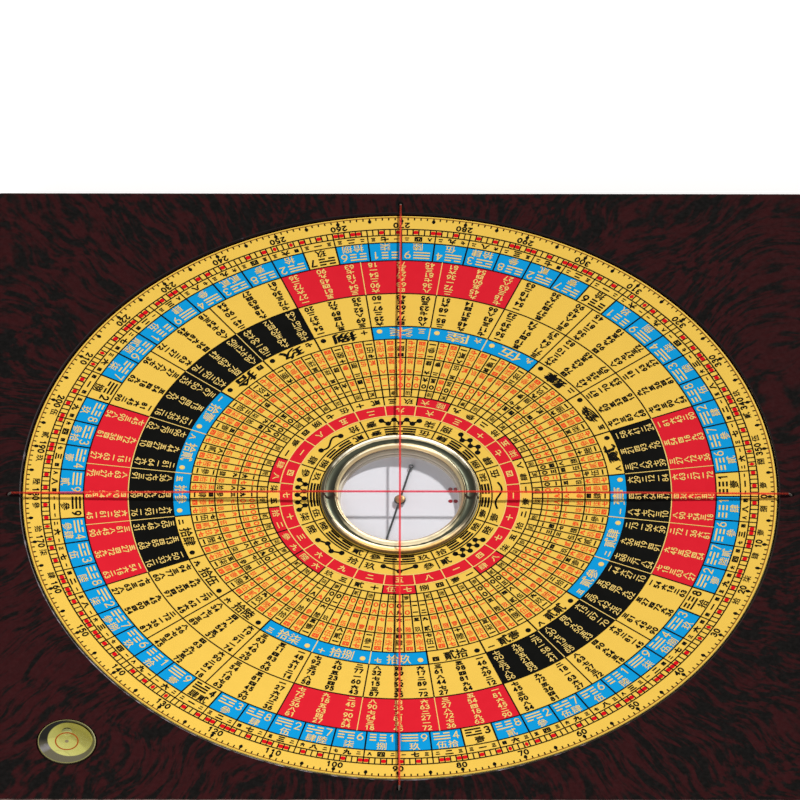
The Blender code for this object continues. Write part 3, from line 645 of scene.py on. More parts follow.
def draw_divider(middle, spans, inner, outer, pale_width, black_width):
    """The line after a sector. It is pale where the sectors on both its sides lie in the spans."""
    both = within(middle, spans) and within(middle + SECTOR_SPAN, spans)
    colour, width = ("pale", pale_width) if both else ("black", black_width)
    draw_spoke(colour, middle + SECTOR_START, inner, outer, width)


def draw_dot(colour, radius, degrees, wide, tall=None, sides=12, power=1.0):
    """A round dot. A power under 1 squares it up, and one above 1 makes it a diamond."""
    tall = tall or wide
    points = []
    for side in range(sides):
        angle = math.tau * side / sides
        across = math.copysign(abs(math.cos(angle)) ** power, math.cos(angle)) * wide / 2
        up = math.copysign(abs(math.sin(angle)) ** power, math.sin(angle)) * tall / 2
        points.append(on_dial(radius, degrees, across, up))
    ink_face(colour, points)


def draw_link(colour, places, width):
    """A line of even width through (x, y) places."""
    points = []
    for index, place in enumerate(places):
        before = Vector(places[max(0, index - 1)])
        after = Vector(places[min(len(places) - 1, index + 1)])
        side = (after - before).normalized().orthogonal() * width / 2
        points += [tuple(Vector(place) - side), tuple(Vector(place) + side)]
    ink_strip(colour, points)


def glyph(char):
    """A formal numeral's outline from Blender's own font, as points and faces, kept after its first use."""
    if char not in shapes:
        curve = bpy.data.curves.new("glyph", "FONT")
        curve.body = char
        curve.resolution_u = 2
        curve.offset = 0.006
        holder = place_object("glyph", curve)
        bpy.context.view_layer.update()
        drawn = holder.evaluated_get(bpy.context.evaluated_depsgraph_get()).to_mesh()
        points = [(vertex.co.x, vertex.co.y) for vertex in drawn.vertices]
        shapes[char] = (points, [tuple(face.vertices) for face in drawn.polygons])
        bpy.data.objects.remove(holder)
        bpy.data.curves.remove(curve)
    return shapes[char]


def write_formal(colour, char, radius, degrees, wide, tall, shift):
    points, faces = glyph(char)
    left, right, low, high = FORMAL_BOX
    apart = INKS[colour][3] * (wide - 1.2)
    for nudge in (-apart / 2, apart / 2) if apart else (0.0,):
        placed = []
        for x, y in points:
            across = ((x - left) / (right - left) - 0.5) * wide + shift + nudge
            up = ((y - low) / (high - low) - 0.5) * tall + nudge * 0.6
            placed.append(on_dial(radius, degrees, across, up))
        ink(colour, placed, faces)


def write_strokes(colour, char, radius, degrees, wide, tall, shift, weight):
    for stroke in STROKES[char]:
        line = [Vector(((x - 0.5) * (wide - weight) + shift, (y - 0.5) * (tall - weight))) for x, y in stroke]
        for start, end in zip(line, line[1:]):
            along = (end - start).normalized()
            side = along.orthogonal() * weight / 2
            first, last = start - along * weight * 0.35, end + along * weight * 0.35
            corners = (first - side, last - side, last + side, first + side)
            ink_face(colour, [on_dial(radius, degrees, *corner) for corner in corners])


def write(colour, text, row, degrees, pitch=None):
    """Writes a text with its middle on a place in a row of characters."""
    radius, wide, tall, weight = row
    pitch = pitch or wide * 1.12
    weight *= INKS[colour][2]
    for index, char in enumerate(text):
        shift = (index - (len(text) - 1) / 2) * pitch
        if char in STROKES:
            write_strokes(colour, char, radius, degrees, wide, tall, shift, weight)
        else:
            write_formal(colour, char, radius, degrees, wide, tall, shift)


def formal(number):
    """A plain number from 1 to 99 in formal numerals, as people would write it in figures."""
    if number <= 10:
        return FORMAL[number - 1]
    if number < 20:
        return FORMAL[9] + FORMAL[number - 11]
    units = number % 10
    return FORMAL[number // 10 - 1] + FORMAL[units - 1 if units else 9]


def within(degrees, spans):
    """True if an angle lies in one of the spans, each a (start, end) pair in degrees."""
    return any((degrees - start) % 360.0 < end - start for start, end in spans)


RED_SPANS = ((-22.5, 22.5), (67.5, 112.5), (157.5, 202.5), (247.5, 292.5))
BLACK_SPANS = ((112.5, 202.5), (-67.5, 22.5))
BLUE_SPANS = ((52.5, 97.5), (142.5, 187.5), (232.5, 277.5), (322.5, 367.5))
RED_PAIRS = (30, 75, 165, 195, 210, 225, 270, 315)
WORD_SPANS = ((335.0, 385.0), (160.0, 200.0))


def house(cell):
    """A 64th of the ring: its place from 0 to 7 in its house, which house of its half this is, and
    whether it is the house's one yellow cell."""
    place, turn = cell % 8, cell // 8 % 4
    return place, turn, place == turn


def print_scale():
    draw_arc("brown", BASELINE, FINE_LINE)
    for degree in range(360):
        draw_spoke("black", degree, BASELINE - 0.85, BASELINE - 0.05, THIN_LINE)
        if degree % 5 == 0:
            draw_dot("black", FIVES_RING, degree, 0.95, 1.3, 8, 1.2)
    for degree in range(0, 360, 10):
        write("black", str((360 - degree) % 360), DEGREES_ROW, degree, DEGREES_PITCH)
    for index in range(72):
        if within(index * 5 + 2.5, WORD_SPANS):
            write("black", FORMAL[index * 7 % 10], WORDS_ROW, index * 5 + 2.4)


def print_dashes():
    """384 small cells with red marks, whose places follow from the houses."""
    starts = (2, 1, 0, 1, 1, 0, 0, 2)
    middle = (CELLS_RING + DASHES_RING) / 2
    for radius in (DASHES_RING, CELLS_RING):
        draw_arc("black", radius, THIN_LINE)
    span = HOUSE_SPAN / 6
    for cell in range(384):
        draw_spoke("black", cell * span, CELLS_RING, DASHES_RING, FINE_LINE)
    for cell in range(64):
        place, turn, _ = house(cell)
        index = place ^ turn
        marks = [starts[index], starts[index] + 3]
        if index in (3, 5):
            marks += [starts[index] + 1, starts[index] + 4]
        for mark in marks:
            degrees = cell * HOUSE_SPAN + (mark % 6 + 0.5) * span
            if index == 1:
                draw_dot("red", middle, degrees, 0.95, 1.4, 16, 1.4)
            else:
                draw_dot("red", middle, degrees, 1.15, 1.15, 16, 0.6)


def print_cells():
    """64 cells, each a simple numeral between two small ones."""
    draw_arc("black", HOUSES_RING, THIN_LINE)
    for cell in range(64):
        place, turn, _ = house(cell)
        centre = (cell + 0.5) * HOUSE_SPAN
        draw_spoke("black", cell * HOUSE_SPAN, HOUSES_RING, CELLS_RING, FINE_LINE)
        write("black", SIMPLE[HOUSE_ORDER[place ^ turn] - 1], CELLS_ROW, centre)
        for side, number in ((-1, place), (1, turn)):
            write("black", SIMPLE[number], SMALL_CELLS_ROW, centre + side * 1.9)


def print_trigram(colour, lines, radii, thick, middle, half, gap):
    """Three lines, the first of the radii for the top one. A bit of lines that is 0 breaks its line."""
    for index, radius in enumerate(radii):
        if lines >> index & 1:
            draw_arc(colour, radius, thick, middle - half, middle + half)
        else:
            draw_arc(colour, radius, thick, middle - half, middle - gap)
            draw_arc(colour, radius, thick, middle + gap, middle + half)


def print_houses():
    draw_arc("black", OUTER_NUMBERS_RING, THIN_LINE)
    for cell in range(64):
        place, _, odd = house(cell)
        lines = place if cell < 32 else 7 - place
        colour = "black" if odd else "pale"
        start = cell * HOUSE_SPAN
        draw_spoke("black", start, OUTER_NUMBERS_RING, HOUSES_RING, THICK_LINE)
        print_trigram(colour, lines, HOUSE_LINES_AT, 0.48 if odd else 0.38, start + 2.05, 1.45, 0.3)
        write(colour, str(HOUSE_ORDER[lines]), ODD_FIGURES_ROW if odd else HOUSE_FIGURES_ROW, start + 4.55)
        text = formal(cell + 1) if cell % 4 == 1 else FORMAL[cell % 10]
        write(colour, text, HOUSES_ROW, start + HOUSE_SPAN / 2)


def print_numbers(inner, outer, number_radii, numeral_radii, dark_spans, value, thin=1.0):
    """A ring of 24 sectors with three columns of numbers and numerals between them. Thin is a factor on
    the width of the pale strokes."""
    squares = ("三七八", "五九四", "一二六")
    for sector in range(24):
        middle = sector * SECTOR_SPAN
        colour, share = ("pale", thin) if within(middle, dark_spans) else ("black", 1.0)
        draw_divider(middle, dark_spans, inner, outer, NUMBERS_PALE_LINE, THIN_LINE)
        for column, square in enumerate(squares):
            degrees = middle + (column - 1) * 5.3
            for row, (number_radius, numeral_radius) in enumerate(zip(number_radii, numeral_radii)):
                text, numeral = str(value(sector, column, row)), square[(row + sector) % 3]
                write(colour, text, (number_radius, 1.12, 1.55, 0.29 * share), degrees, NUMBERS_PITCH)
                write(colour, numeral, (numeral_radius, 1.95, 1.4, 0.28 * share), degrees)


def print_names():
    for sector in range(24):
        middle = sector * SECTOR_SPAN
        colour = "pale" if within(middle, BLUE_SPANS) else "black"
        draw_divider(middle, BLUE_SPANS, GRID_RING, NAMES_RING, NAMES_PALE_LINE, THICK_LINE)
        text = formal(sector + 1)
        write(colour, text, (53.7, 5.8 / len(text), 2.95, 0.24), middle, 6.0 / len(text))
        write(colour, SIMPLE[sector * 7 % 10], SMALL_NAMES_ROW, middle - 5.4)
        draw_dot(colour, 54.2, middle + 5.6, 1.4)


def print_grid():
    """120 columns of numerals in orange and black."""
    for radius in (GRID_RING, BOLD_RING, TENS_RING, MARKS_RING, PAIRS_RING):
        draw_arc("black", radius, THIN_LINE)
    for column in range(120):
        edge = COLUMN_START + column * COLUMN_SPAN
        middle = edge + COLUMN_SPAN / 2
        draw_spoke("black", edge, PAIRS_RING, GRID_RING, THIN_LINE)
        upper = "black" if column % 3 == 2 else "orange"
        lower = "black" if column % 11 in (1, 3, 4) else "orange"
        texts = SIMPLE[(3 * column + 3) % 9] + FORMAL[column * 7 % 10] + SIMPLE[(column + 4) % 10]
        texts += FORMAL[(column * 3 + 5) % 10] * 2 + SIMPLE[column * 4 % 9]
        texts += DIGITS[column % 10] + DIGITS[column // 10 % 2]
        for index, (text, row) in enumerate(zip(texts, GRID_ROWS)):
            write(upper if index < 3 else lower, text, row, middle)
        if (column - 2) % 5 in (1, 3):
            write("black", FORMAL[column * 7 % 10], MARKS_ROW, middle)


def print_pairs():
    for sector in range(24):
        middle = sector * SECTOR_SPAN
        colour = "pale" if middle in RED_PAIRS else "black"
        draw_spoke("black", middle + SECTOR_START, RED_RING, PAIRS_RING, THIN_LINE)
        write(colour, FORMAL[sector * 3 % 10], PAIRS_ROW, middle - 3.6)
        write(colour, SIMPLE[sector * 7 % 10], SMALL_PAIRS_ROW, middle + 3.7)
        draw_spoke("pale", middle + SECTOR_START, FIGURES_RING, RED_RING, PAIRS_PALE_LINE)
        write("pale", SIMPLE[sector * 3 % 10], RED_RING_ROW, middle)
    for radius in (RED_RING, FIGURES_RING):
        draw_arc("pale", radius, NAMES_PALE_LINE)


# Dot figures by section: dots, half their span in degrees, and how far they swing
FIGURES = ((0, 10.4, 0.75), (6, 8.4, 0.65), (7, 10.8, -0.6), (2, 8.0, -0.75),
           (9, 11.3, -0.85), (4, 8.4, -0.6), (3, 9.6, 0.65), (8, 9.5, 0.75))
SECTION_LINES = (0, 1, 2, 3, 7, 6, 5, 4)
FIGURE_RADIUS = FIGURES_ROW[0]


def print_figure(middle, dots, half, swing):
    """Dots joined by lines that zigzag about a circle. Two dots are joined by an S curve, and none is
    the curve alone."""
    places = []
    for index in range(dots):
        share = 2.0 * index / (dots - 1) - 1.0
        radius = FIGURE_RADIUS + (swing * (1 if index % 2 else -1) if dots > 2 else 0.0)
        places.append((radius, middle + share * half))
        draw_dot("black", *places[-1], 1.42, sides=16)
    if dots < 3:
        places = []
        for step in range(17):
            share = step / 8.0 - 1.0
            radius = FIGURE_RADIUS + swing * math.sin(share * math.pi)
            places.append((radius, middle + share * half))
    draw_link("black", [on_dial(*place) for place in places], 0.5)


def print_sections():
    for radius in (CAPSULE_RING, LINES_RING):
        draw_arc("black", radius, THIN_LINE)
    for section, (figure, lines) in enumerate(zip(FIGURES, SECTION_LINES)):
        middle = section * 45.0
        draw_spoke("black", middle + 22.5, CAPSULE_RING, FIGURES_RING, THIN_LINE)
        print_figure(middle, *figure)
        print_trigram("black", lines, SECTION_LINES_AT, 0.51, middle, 10.3, 1.6)
        for side in (-1, 1):
            number = section + (side + 1) * 4
            write("black", FORMAL[number * 3 % 10], FIGURES_ROW, middle + side * 17.2)
            write("black", FORMAL[number * 7 % 10], LINES_ROW, middle + side * 16.2)


def outer_number(sector, column, row):
    return 9 * ((sector * 2 + column * 3 + row * 4) % 9 + 2)


def inner_number(sector, column, row):
    return (sector * 29 + column * 37 + row * 17) % 89 + 10


def print_dial():
    print_scale()
    print_dashes()
    print_cells()
    print_houses()
    print_numbers(INNER_NUMBERS_RING, OUTER_NUMBERS_RING, (76.3, 73.0, 69.5), (74.65, 71.3, 67.75),
                  RED_SPANS, outer_number)
    print_numbers(NAMES_RING, INNER_NUMBERS_RING, (65.3, 61.9, 58.4), (63.7, 60.2, 56.75),
                  BLACK_SPANS, inner_number, 0.82)
    for radius in (INNER_NUMBERS_RING, NAMES_RING):
        draw_arc("black", radius, THIN_LINE)
    for start in (-22.5, 157.5):
        draw_arc("pale", INNER_NUMBERS_RING, HALVES_PALE_LINE, start, start + 45.0)
    print_names()
    print_grid()
    print_pairs()
    print_sections()
    for name, (points, faces, _) in inks.items():
        colour, lift = INKS[name][:2]
        mesh = finish_mesh("print_" + name, [(x, y, FACE + lift + rise) for x, y, rise in points], faces)
        add_piece("print_" + name, mesh, "dial", [print_material("print_" + name, colour)])


# Pieces

def field_slot(outer_radius, degrees):
    """The colour of the plate inside a ring's outer edge: 0 yellow, 1 blue, 2 red, 3 black."""
    cell = int(degrees / HOUSE_SPAN)
    if outer_radius == HOUSES_RING and not house(cell)[2]:
        return 1
    if outer_radius == OUTER_NUMBERS_RING and within(degrees, RED_SPANS):
        return 2
    if outer_radius == INNER_NUMBERS_RING and within(degrees, BLACK_SPANS):
        return 3
    if outer_radius == NAMES_RING and within(degrees, BLUE_SPANS):
        return 1
    sector = int(((degrees + SECTOR_START) % 360.0) / SECTOR_SPAN) * SECTOR_SPAN
    if outer_radius == PAIRS_RING and sector in RED_PAIRS:
        return 2
    return 2 if outer_radius == RED_RING else 0


def make_dial_face():
    """The printed plate. Its face is a polar grid, so that each field of colour is its own faces."""
    radii = [BORE_R, FIGURES_RING, RED_RING, PAIRS_RING, GRID_RING, NAMES_RING, INNER_NUMBERS_RING]
    radii += [OUTER_NUMBERS_RING, HOUSES_RING, DIAL_R - PLATE_ROUND]
    profile = [(radius, FACE) for radius in radii]
    profile += arc((DIAL_R - PLATE_ROUND, FACE - PLATE_ROUND), PLATE_ROUND, 90, 0, 4)[1:]
    profile += [(DIAL_R, PLATE_UNDER), (BORE_R, PLATE_UNDER)]
    step_span = 360.0 / DIAL_STEPS

    def slot_of(edge, step):
        if edge >= len(radii) - 1:
            return 0 if edge < len(radii) + 1 else 4
        return field_slot(radii[edge + 1], (step + 0.5) * step_span)

    colours = (("yellow", YELLOW), ("blue", BLUE), ("red", RED), ("black", BLACK))
    materials = [print_material("field_" + name, colour) for name, colour in colours]
    materials.append(plain_material("plate_edge", colour_of(214, 200, 136), 0.35, metallic=0.7))
    plate = add_turned("dial_face", profile, DIAL_STEPS, "dial", "plate", materials, ["dial_plate"],
                       slot_of=slot_of, smooth=20.0, begin=PRINT_TURN)
    plate.modifiers.new("weighted", "WEIGHTED_NORMAL").keep_sharp = True


def cut_with(mesh, cutters):
    """The mesh with each cutter's volume taken away."""
    holder = place_object("holder", mesh)
    helpers = [holder]
    for cutter in cutters:
        helpers.append(place_object("cutter", cutter))
        modifier = holder.modifiers.new("cut", "BOOLEAN")
        modifier.operation = "DIFFERENCE"
        modifier.solver = "EXACT"
        modifier.object = helpers[-1]
    bpy.context.view_layer.update()
    made = bpy.data.meshes.new_from_object(holder.evaluated_get(bpy.context.evaluated_depsgraph_get()))
    for helper in helpers:
        bpy.data.objects.remove(helper)
    return made


def board_blank():
    """The board before its recess is cut: rounded corners, and rounded edges above and below."""
    middle = BOARD_HALF - BOARD_CORNER
    angles = [math.pi / 2 * step / 5 for step in range(6)]
    layers = [(BOARD_ROUND * (1 - math.sin(a)), BOARD_ROUND * (1 - math.cos(a))) for a in angles]
    layers += [(inset, BOARD_TOP - rise) for inset, rise in reversed(layers)]
    rows = []
    for inset, height in layers:
        rows.append([])
        for along_x, along_y, start in ((1, 1, 0), (-1, 1, 90), (-1, -1, 180), (1, -1, 270)):
            corner = arc((along_x * middle, along_y * middle), BOARD_CORNER - inset, start, start + 90, 8)
            rows[-1] += [(x, y, height) for x, y in corner]
    return loft("board_blank", rows)


# What is cut into the board, and the gap in seats that are glued or pressed
SEAT_GAP = 0.3
SLIP_IN = 56.7
HUB_BORE = 11.3
HUB_SEAT_DEPTH = 1.8
NUT_POCKET = 14.0
PLUG_POCKET = 2.6
HOLE_R = 0.5
HOLE_SINK = 0.2
THREAD_REACH = BOARD_HALF - 4.0
LEVEL_AT = middle_of("level_cap")
LEVEL_R = reach("level_cap") - LEVEL_AT[0]


def board_cutters():
    """What is cut from the board: the dial's recess, the hub, the level's pocket and the threads' holes."""
    low, high = -OVERRUN, BOARD_TOP + OVERRUN
    slip_out, slip_floor = reach("slip_ring") + SEAT_GAP, under("slip_ring") - SEAT_GAP
    recess = stairs(0.0, RECESS_FLOOR, SLIP_IN, slip_floor, slip_out, RECESS_FLOOR, RECESS_R)
    recess += arc((RECESS_R + RECESS_EDGE, BOARD_TOP - RECESS_EDGE), RECESS_EDGE, 180, 90, 3)
    recess += [(RECESS_R + RECESS_EDGE, high), (0.0, high)]
    flange, seat = reach("hub_bush") + SEAT_GAP, RECESS_FLOOR - HUB_SEAT_DEPTH
    ceiling = top("hub_washer") + SEAT_GAP
    hub = stairs(0.0, RECESS_FLOOR + OVERRUN, flange, seat, HUB_BORE, ceiling, NUT_POCKET, low, 0.0)
    well = stairs(0.0, under("level_cap") - SEAT_GAP, LEVEL_R + SEAT_GAP, high, 0.0)
    plug_top = top("thread_plug_near") + SEAT_GAP
    hole = stairs(0.0, low, PLUG_POCKET, plug_top, HOLE_R, BOARD_TOP - HOLE_SINK)
    hole += [(HOLE_R + HOLE_SINK + OVERRUN, high), (0.0, high)]
    cutters = [turned("recess", recess, 288), turned("hub", hub, 96), turned("well", well, 96, LEVEL_AT)]
    for along_x, along_y in ((1, 0), (0, 1), (-1, 0), (0, -1)):
        cutters.append(turned("hole", hole, 32, (along_x * THREAD_REACH, along_y * THREAD_REACH)))
    return cutters


def make_board():
    mesh = cut_with(board_blank(), board_cutters())
    mesh.materials.clear()
    for face in mesh.polygons:
        centre = face.center / MM
        distance = math.hypot(centre.x, centre.y)
        on_edge = RECESS_R < distance < RECESS_R + RECESS_EDGE and centre.z > BOARD_TOP - RECESS_EDGE
        outer = max(abs(centre.x), abs(centre.y)) > BOARD_HALF - BOARD_ROUND * 0.8
        on_round = outer and BOARD_TOP - BOARD_ROUND * 0.7 < centre.z < BOARD_TOP - 0.01
        face.material_index = 1 if on_edge else 2 if on_round else 0
    smooth_mesh(mesh)
    # Recess rim: pale patches of wear and painted glints, strongest towards the near left
    rim = worn_edge_material("worn_rim", 0.53, 0.72, 240.0, colour_of(150, 142, 150))
    # Top rounding of the board: a painted highlight, strongest towards the near side
    edge = worn_edge_material("worn_edge", 0.30, 0.62, 270.0, colour_of(132, 116, 108))
    board = add_piece("board", mesh, "base", [burl_material(), rim, edge], ["base_board"])
    board.modifiers.new("weighted", "WEIGHTED_NORMAL").keep_sharp = True


# Capsule: its crystal, cup and bezel
CRYSTAL_TOP = top("capsule_crystal")
WELL_R = 14.6
CUP_FLOOR = under("capsule_card") - SEAT_GAP
CUP_SEAT_R = 16.1
CUP_RIM_R = 16.6
BOSS_R = 9.0
BOSS_BORE = 6.0
BOSS_CHAMFER = 0.5
OPENING_R = 15.2
RING_OUT = OPENING_R + 1.1
SKIRT_IN = 16.9
SKIRT_OUT = 17.6
BEZEL_R = reach("capsule_bezel")
BEZEL_UNDER = FACE + SEAT_GAP
BEZEL_TOP = top("capsule_bezel")
LIP_OUT = BEZEL_R - 0.45
LIP_IN = LIP_OUT - 0.75
RING_TOP = BEZEL_TOP - 0.1
CHANNEL_MIDDLE = (LIP_IN + RING_OUT) / 2
CHANNEL_HALF = (LIP_IN - RING_OUT) / 2

# Dots on the card
DOT_PLACES = [(x, y) for x in (12.4, 13.65) for y in (0.0, 3.95)]
DOT_R = 0.57


def bezel_profile():
    """Ledge, rounded lip, hollow channel and inner ring, with the skirt under them. With the profile come
    the edges where its lip, channel, inner ring and slope start."""
    round_r, corner_r, foot_r, ledge_top = 0.28, 0.12, 0.1, BEZEL_UNDER + 0.25
    low, skirt_end = BEZEL_UNDER + 0.2, under("capsule_bezel")
    profile = [(BEZEL_R, BEZEL_UNDER)]
    profile += arc((BEZEL_R - corner_r, ledge_top - corner_r), corner_r, 0, 90, 3)
    profile += arc((LIP_OUT + foot_r, ledge_top + foot_r), foot_r, 270, 180, 3)
    lip_start = 7
    profile += arc((LIP_OUT - round_r, BEZEL_TOP - round_r), round_r, 0, 90, 8)
    profile += arc((LIP_IN + round_r, BEZEL_TOP - round_r), round_r, 90, 180, 8)
    channel_start = len(profile)
    for step in range(17):
        across = 1.0 - step / 8.0
        side_top = BEZEL_TOP - round_r if across > 0 else RING_TOP - corner_r
        radius = CHANNEL_MIDDLE + CHANNEL_HALF * across * 0.98
        profile.append((radius, low + (side_top - low) * abs(across) ** 2.4))
    ring_start = len(profile) - 1
    profile += arc((RING_OUT - round_r, RING_TOP - round_r), round_r, 0, 150, 8)
    slope_start = len(profile) - 1
    profile += [(OPENING_R + out, RING_TOP - drop) for out, drop in ((0.3, 0.4), (0.08, 0.5), (0.0, 0.62))]
    profile += stairs(OPENING_R, BEZEL_UNDER, SKIRT_IN, skirt_end, SKIRT_OUT, BEZEL_UNDER)
    return profile, (lip_start, channel_start, ring_start, slope_start)


def make_bezel():
    profile, starts = bezel_profile()
    # These tones are painted light: pale painted highlights at the near and far ends, darker painted
    # reflection at the sides, a dark painted reflection in the channel, and a dark ledge that stands for the
    # lip's shade
    ledge = toned_metal("ledge_brass", colour_of(84, 78, 60), colour_of(96, 74, 42), 0.34)
    lip = toned_metal("lip_brass", colour_of(70, 66, 54), colour_of(250, 240, 214), 0.32,
                      near_end=colour_of(232, 188, 118))
    channel = toned_metal("channel_brass", colour_of(76, 72, 54), colour_of(222, 206, 168), 0.36,
                          colour_of(50, 52, 42), (CHANNEL_MIDDLE, CHANNEL_HALF, 0.32, 0.8))
    inner = toned_metal("ring_brass", colour_of(122, 112, 88), colour_of(250, 236, 202), 0.3,
                        colour_of(76, 70, 52), (RING_OUT, 0.55, 1.3, 1.3))
    slope = toned_metal("slope_brass", colour_of(172, 156, 120), colour_of(190, 164, 122), 0.3)
    add_turned("bezel", profile, CAPSULE_STEPS * 2, "dial", "brass", [ledge, lip, channel, inner, slope],
               ["capsule_bezel"], smooth=30.0,
               slot_of=lambda edge, step: sum(edge >= start for start in starts))


def make_cup(brass):
    """The cup, whose well has a pale lining."""
    shelf, skirt_end = under("capsule_gasket") - SEAT_GAP, under("capsule_bezel") - SEAT_GAP
    cup_under, boss_end = CUP_FLOOR - 1.5, under("capsule_cup")
    profile = stairs(0.0, CUP_FLOOR, WELL_R, shelf - 0.15)
    profile += stairs(WELL_R + 0.15, shelf, CUP_SEAT_R, CRYSTAL_TOP, CUP_RIM_R, skirt_end, SKIRT_OUT,
                      cup_under, BOSS_R, boss_end + BOSS_CHAMFER)
    profile += stairs(BOSS_R - BOSS_CHAMFER, boss_end, BOSS_BORE, cup_under, 0.0)
    lining = plain_material("well_lining", colour_of(218, 202, 182), 0.4, specular=0.2, variety=0.04)
    add_turned("cup", profile, CAPSULE_STEPS, "dial", "brass", [brass, lining], ["capsule_cup"],
               slot_of=lambda edge, step: 1 if edge < 5 else 0)


def make_crystal():
    edge, radius, low = 0.2, reach("capsule_crystal"), under("capsule_crystal")
    profile = [(0.0, CRYSTAL_TOP), (radius - edge, CRYSTAL_TOP), (radius, CRYSTAL_TOP - edge)]
    profile += [(radius, low), (0.0, low)]
    glass = clear_material("clear_crystal", colour_of(250, 252, 252), 0.02)
    add_turned("crystal", profile, CAPSULE_STEPS, "dial", "crystal", [glass], ["capsule_crystal"])


def make_gasket():
    low, high, bead = under("capsule_gasket"), top("capsule_gasket"), 0.2
    out = reach("capsule_crystal") - 0.02
    profile = [(out, low), (out, high)] + arc((14.95, high - bead), bead, 90, 270, 6)
    rubber = plain_material("pale_gasket", colour_of(238, 218, 192), 0.5)
    add_turned("gasket", profile, CAPSULE_STEPS, "dial", "gasket", [rubber], ["capsule_gasket"])


def make_card():
    """The white card, and the two pairs of dark red dots on it, which are a piece of their own."""
    low, high, out, hole = under("capsule_card"), top("capsule_card"), WELL_R - 0.02, 0.8
    white = plain_material("white_card", colour_of(251, 243, 250), 0.5, specular=0.15, variety=0.015)
    profile = ring(hole, out, low, high)
    add_turned("card", profile, CAPSULE_STEPS, "dial", "card", [white], ["capsule_card"])
    dots, faces = [], []
    for place in DOT_PLACES:
        start = len(dots)
        dots += [(x, y, high + 0.02) for x, y in arc(place, DOT_R, 0, 345, 15)]
        faces.append(tuple(range(start, len(dots))))
    red = print_material("card_dots", colour_of(168, 16, 38))
    add_piece("card_dots", finish_mesh("card_dots", dots, faces), "dial", [red])


def make_needle():
    steel = metal_material("dark_steel", colour_of(52, 52, 54), colour_of(30, 30, 32), 0.3, 2.0)
    for name in ("needle_blade", "pivot_pin"):
        dress(name, steel)
    dress("needle_jewel", plain_material("jewel_stone", colour_of(150, 50, 44), 0.1, grain=2.0))
    low, high = under("needle_cap"), top("needle_cap")
    shoulder, wide, stem, inside, wall = high - 0.36, 1.28, 0.95, 0.75, 0.25
    profile = [(0.0, high)] + list(bow(0.0, shoulder, wide, high - shoulder, 90, 0, 12))[1:-1]
    profile += stairs(wide, shoulder, stem, low, inside, high - wall, 0.0)
    brown_brass = metal_material("brown_brass", colour_of(176, 132, 84), colour_of(60, 40, 28), 0.36, 0.6)
    add_turned("cap", profile, SMALL_STEPS, "needle", "brass", [brown_brass], ["needle_cap"])


# Where the cap's clear part lies off the level's middle, and how much smaller it is than the level
CLEAR_OFF = (0.8, 0.68)
CLEAR_INSET = 1.66


def level_wall_material():
    """The cap seen from above: clear over the liquid, and beside it painted light and shade on its wall:
    painted shade at the far side, a grey painted reflection towards the near side, a painted highlight at the
    near left, and olive at the right.
    """
    made, tree, shader = new_material("level_wall")
    x, y, radius, _ = place_about(tree, (LEVEL_AT[0] + CLEAR_OFF[0], LEVEL_AT[1] + CLEAR_OFF[1]))
    down, left = y * -1.0 / radius, x * -1.0 / radius
    grain = noise(tree, 0.5)
    # Painted shade at the far side, and a grey painted reflection towards the near side
    tone = (grain * 0.3 + down).rise(0.1, 0.6).blend(colour_of(22, 22, 18), colour_of(104, 98, 78))
    # A painted highlight at the near left
    spot = (grain * 0.05 + left * 0.91 + down * 0.42).spread(0.0, 0.7, 1.005, 1.03)
    tone = spot.blend(tone, colour_of(150, 146, 152))
    right = (grain * 0.1 + left * -0.95 + down * -0.3).rise(0.1, 0.85)
    set_shader(shader, right.blend(tone, colour_of(88, 84, 46)), 0.12, 0.1)
    clear_r = LEVEL_R - CLEAR_INSET
    lit = 1.0 - light_path(tree, "Is Shadow Ray")
    let_through(tree, shader, colour_of(250, 252, 244), radius.rise(clear_r - 0.12, clear_r + 0.1) * lit)
    return made


def liquid_material():
    """Yellow-green liquid with a painted glow that lights it evenly, and painted light and shade in it:
    brighter at the near left, olive at the far right.
    """
    made, tree, shader = new_material("level_green")
    x, y, _, _ = place_about(tree, LEVEL_AT)
    value = noise(tree, 0.3, 2.0) * 3.0 + (y * -0.8 + x * -0.6)
    tone = value.rise(-2.0, 5.5).blend(colour_of(178, 170, 92), colour_of(218, 212, 136))
    set_shader(shader, colour_of(116, 110, 58), 0.3, 0.2)
    set_glow(shader, value.rise(-4.5, -1.0).blend(colour_of(140, 130, 60), tone), 0.72)
    return made


def bubble_material(centre, half):
    """Clear, with a painted dark arc of shade at its far side, as a bubble shows there."""
    made, tree, shader = new_material("air_bubble")
    _, y, radius, _ = place_about(tree, centre)
    share = noise(tree, 2.0) * 0.1 + (radius * (0.7 / half) + y / half)
    tone = share.rise(0.7, 1.0).blend(colour_of(240, 234, 168), colour_of(40, 32, 12))
    set_shader(shader, tone, 0.25, 0.05)
    feed(shader.inputs["Alpha"], share.spread(0.3, 1.0, 0.7, 0.95))
    return made


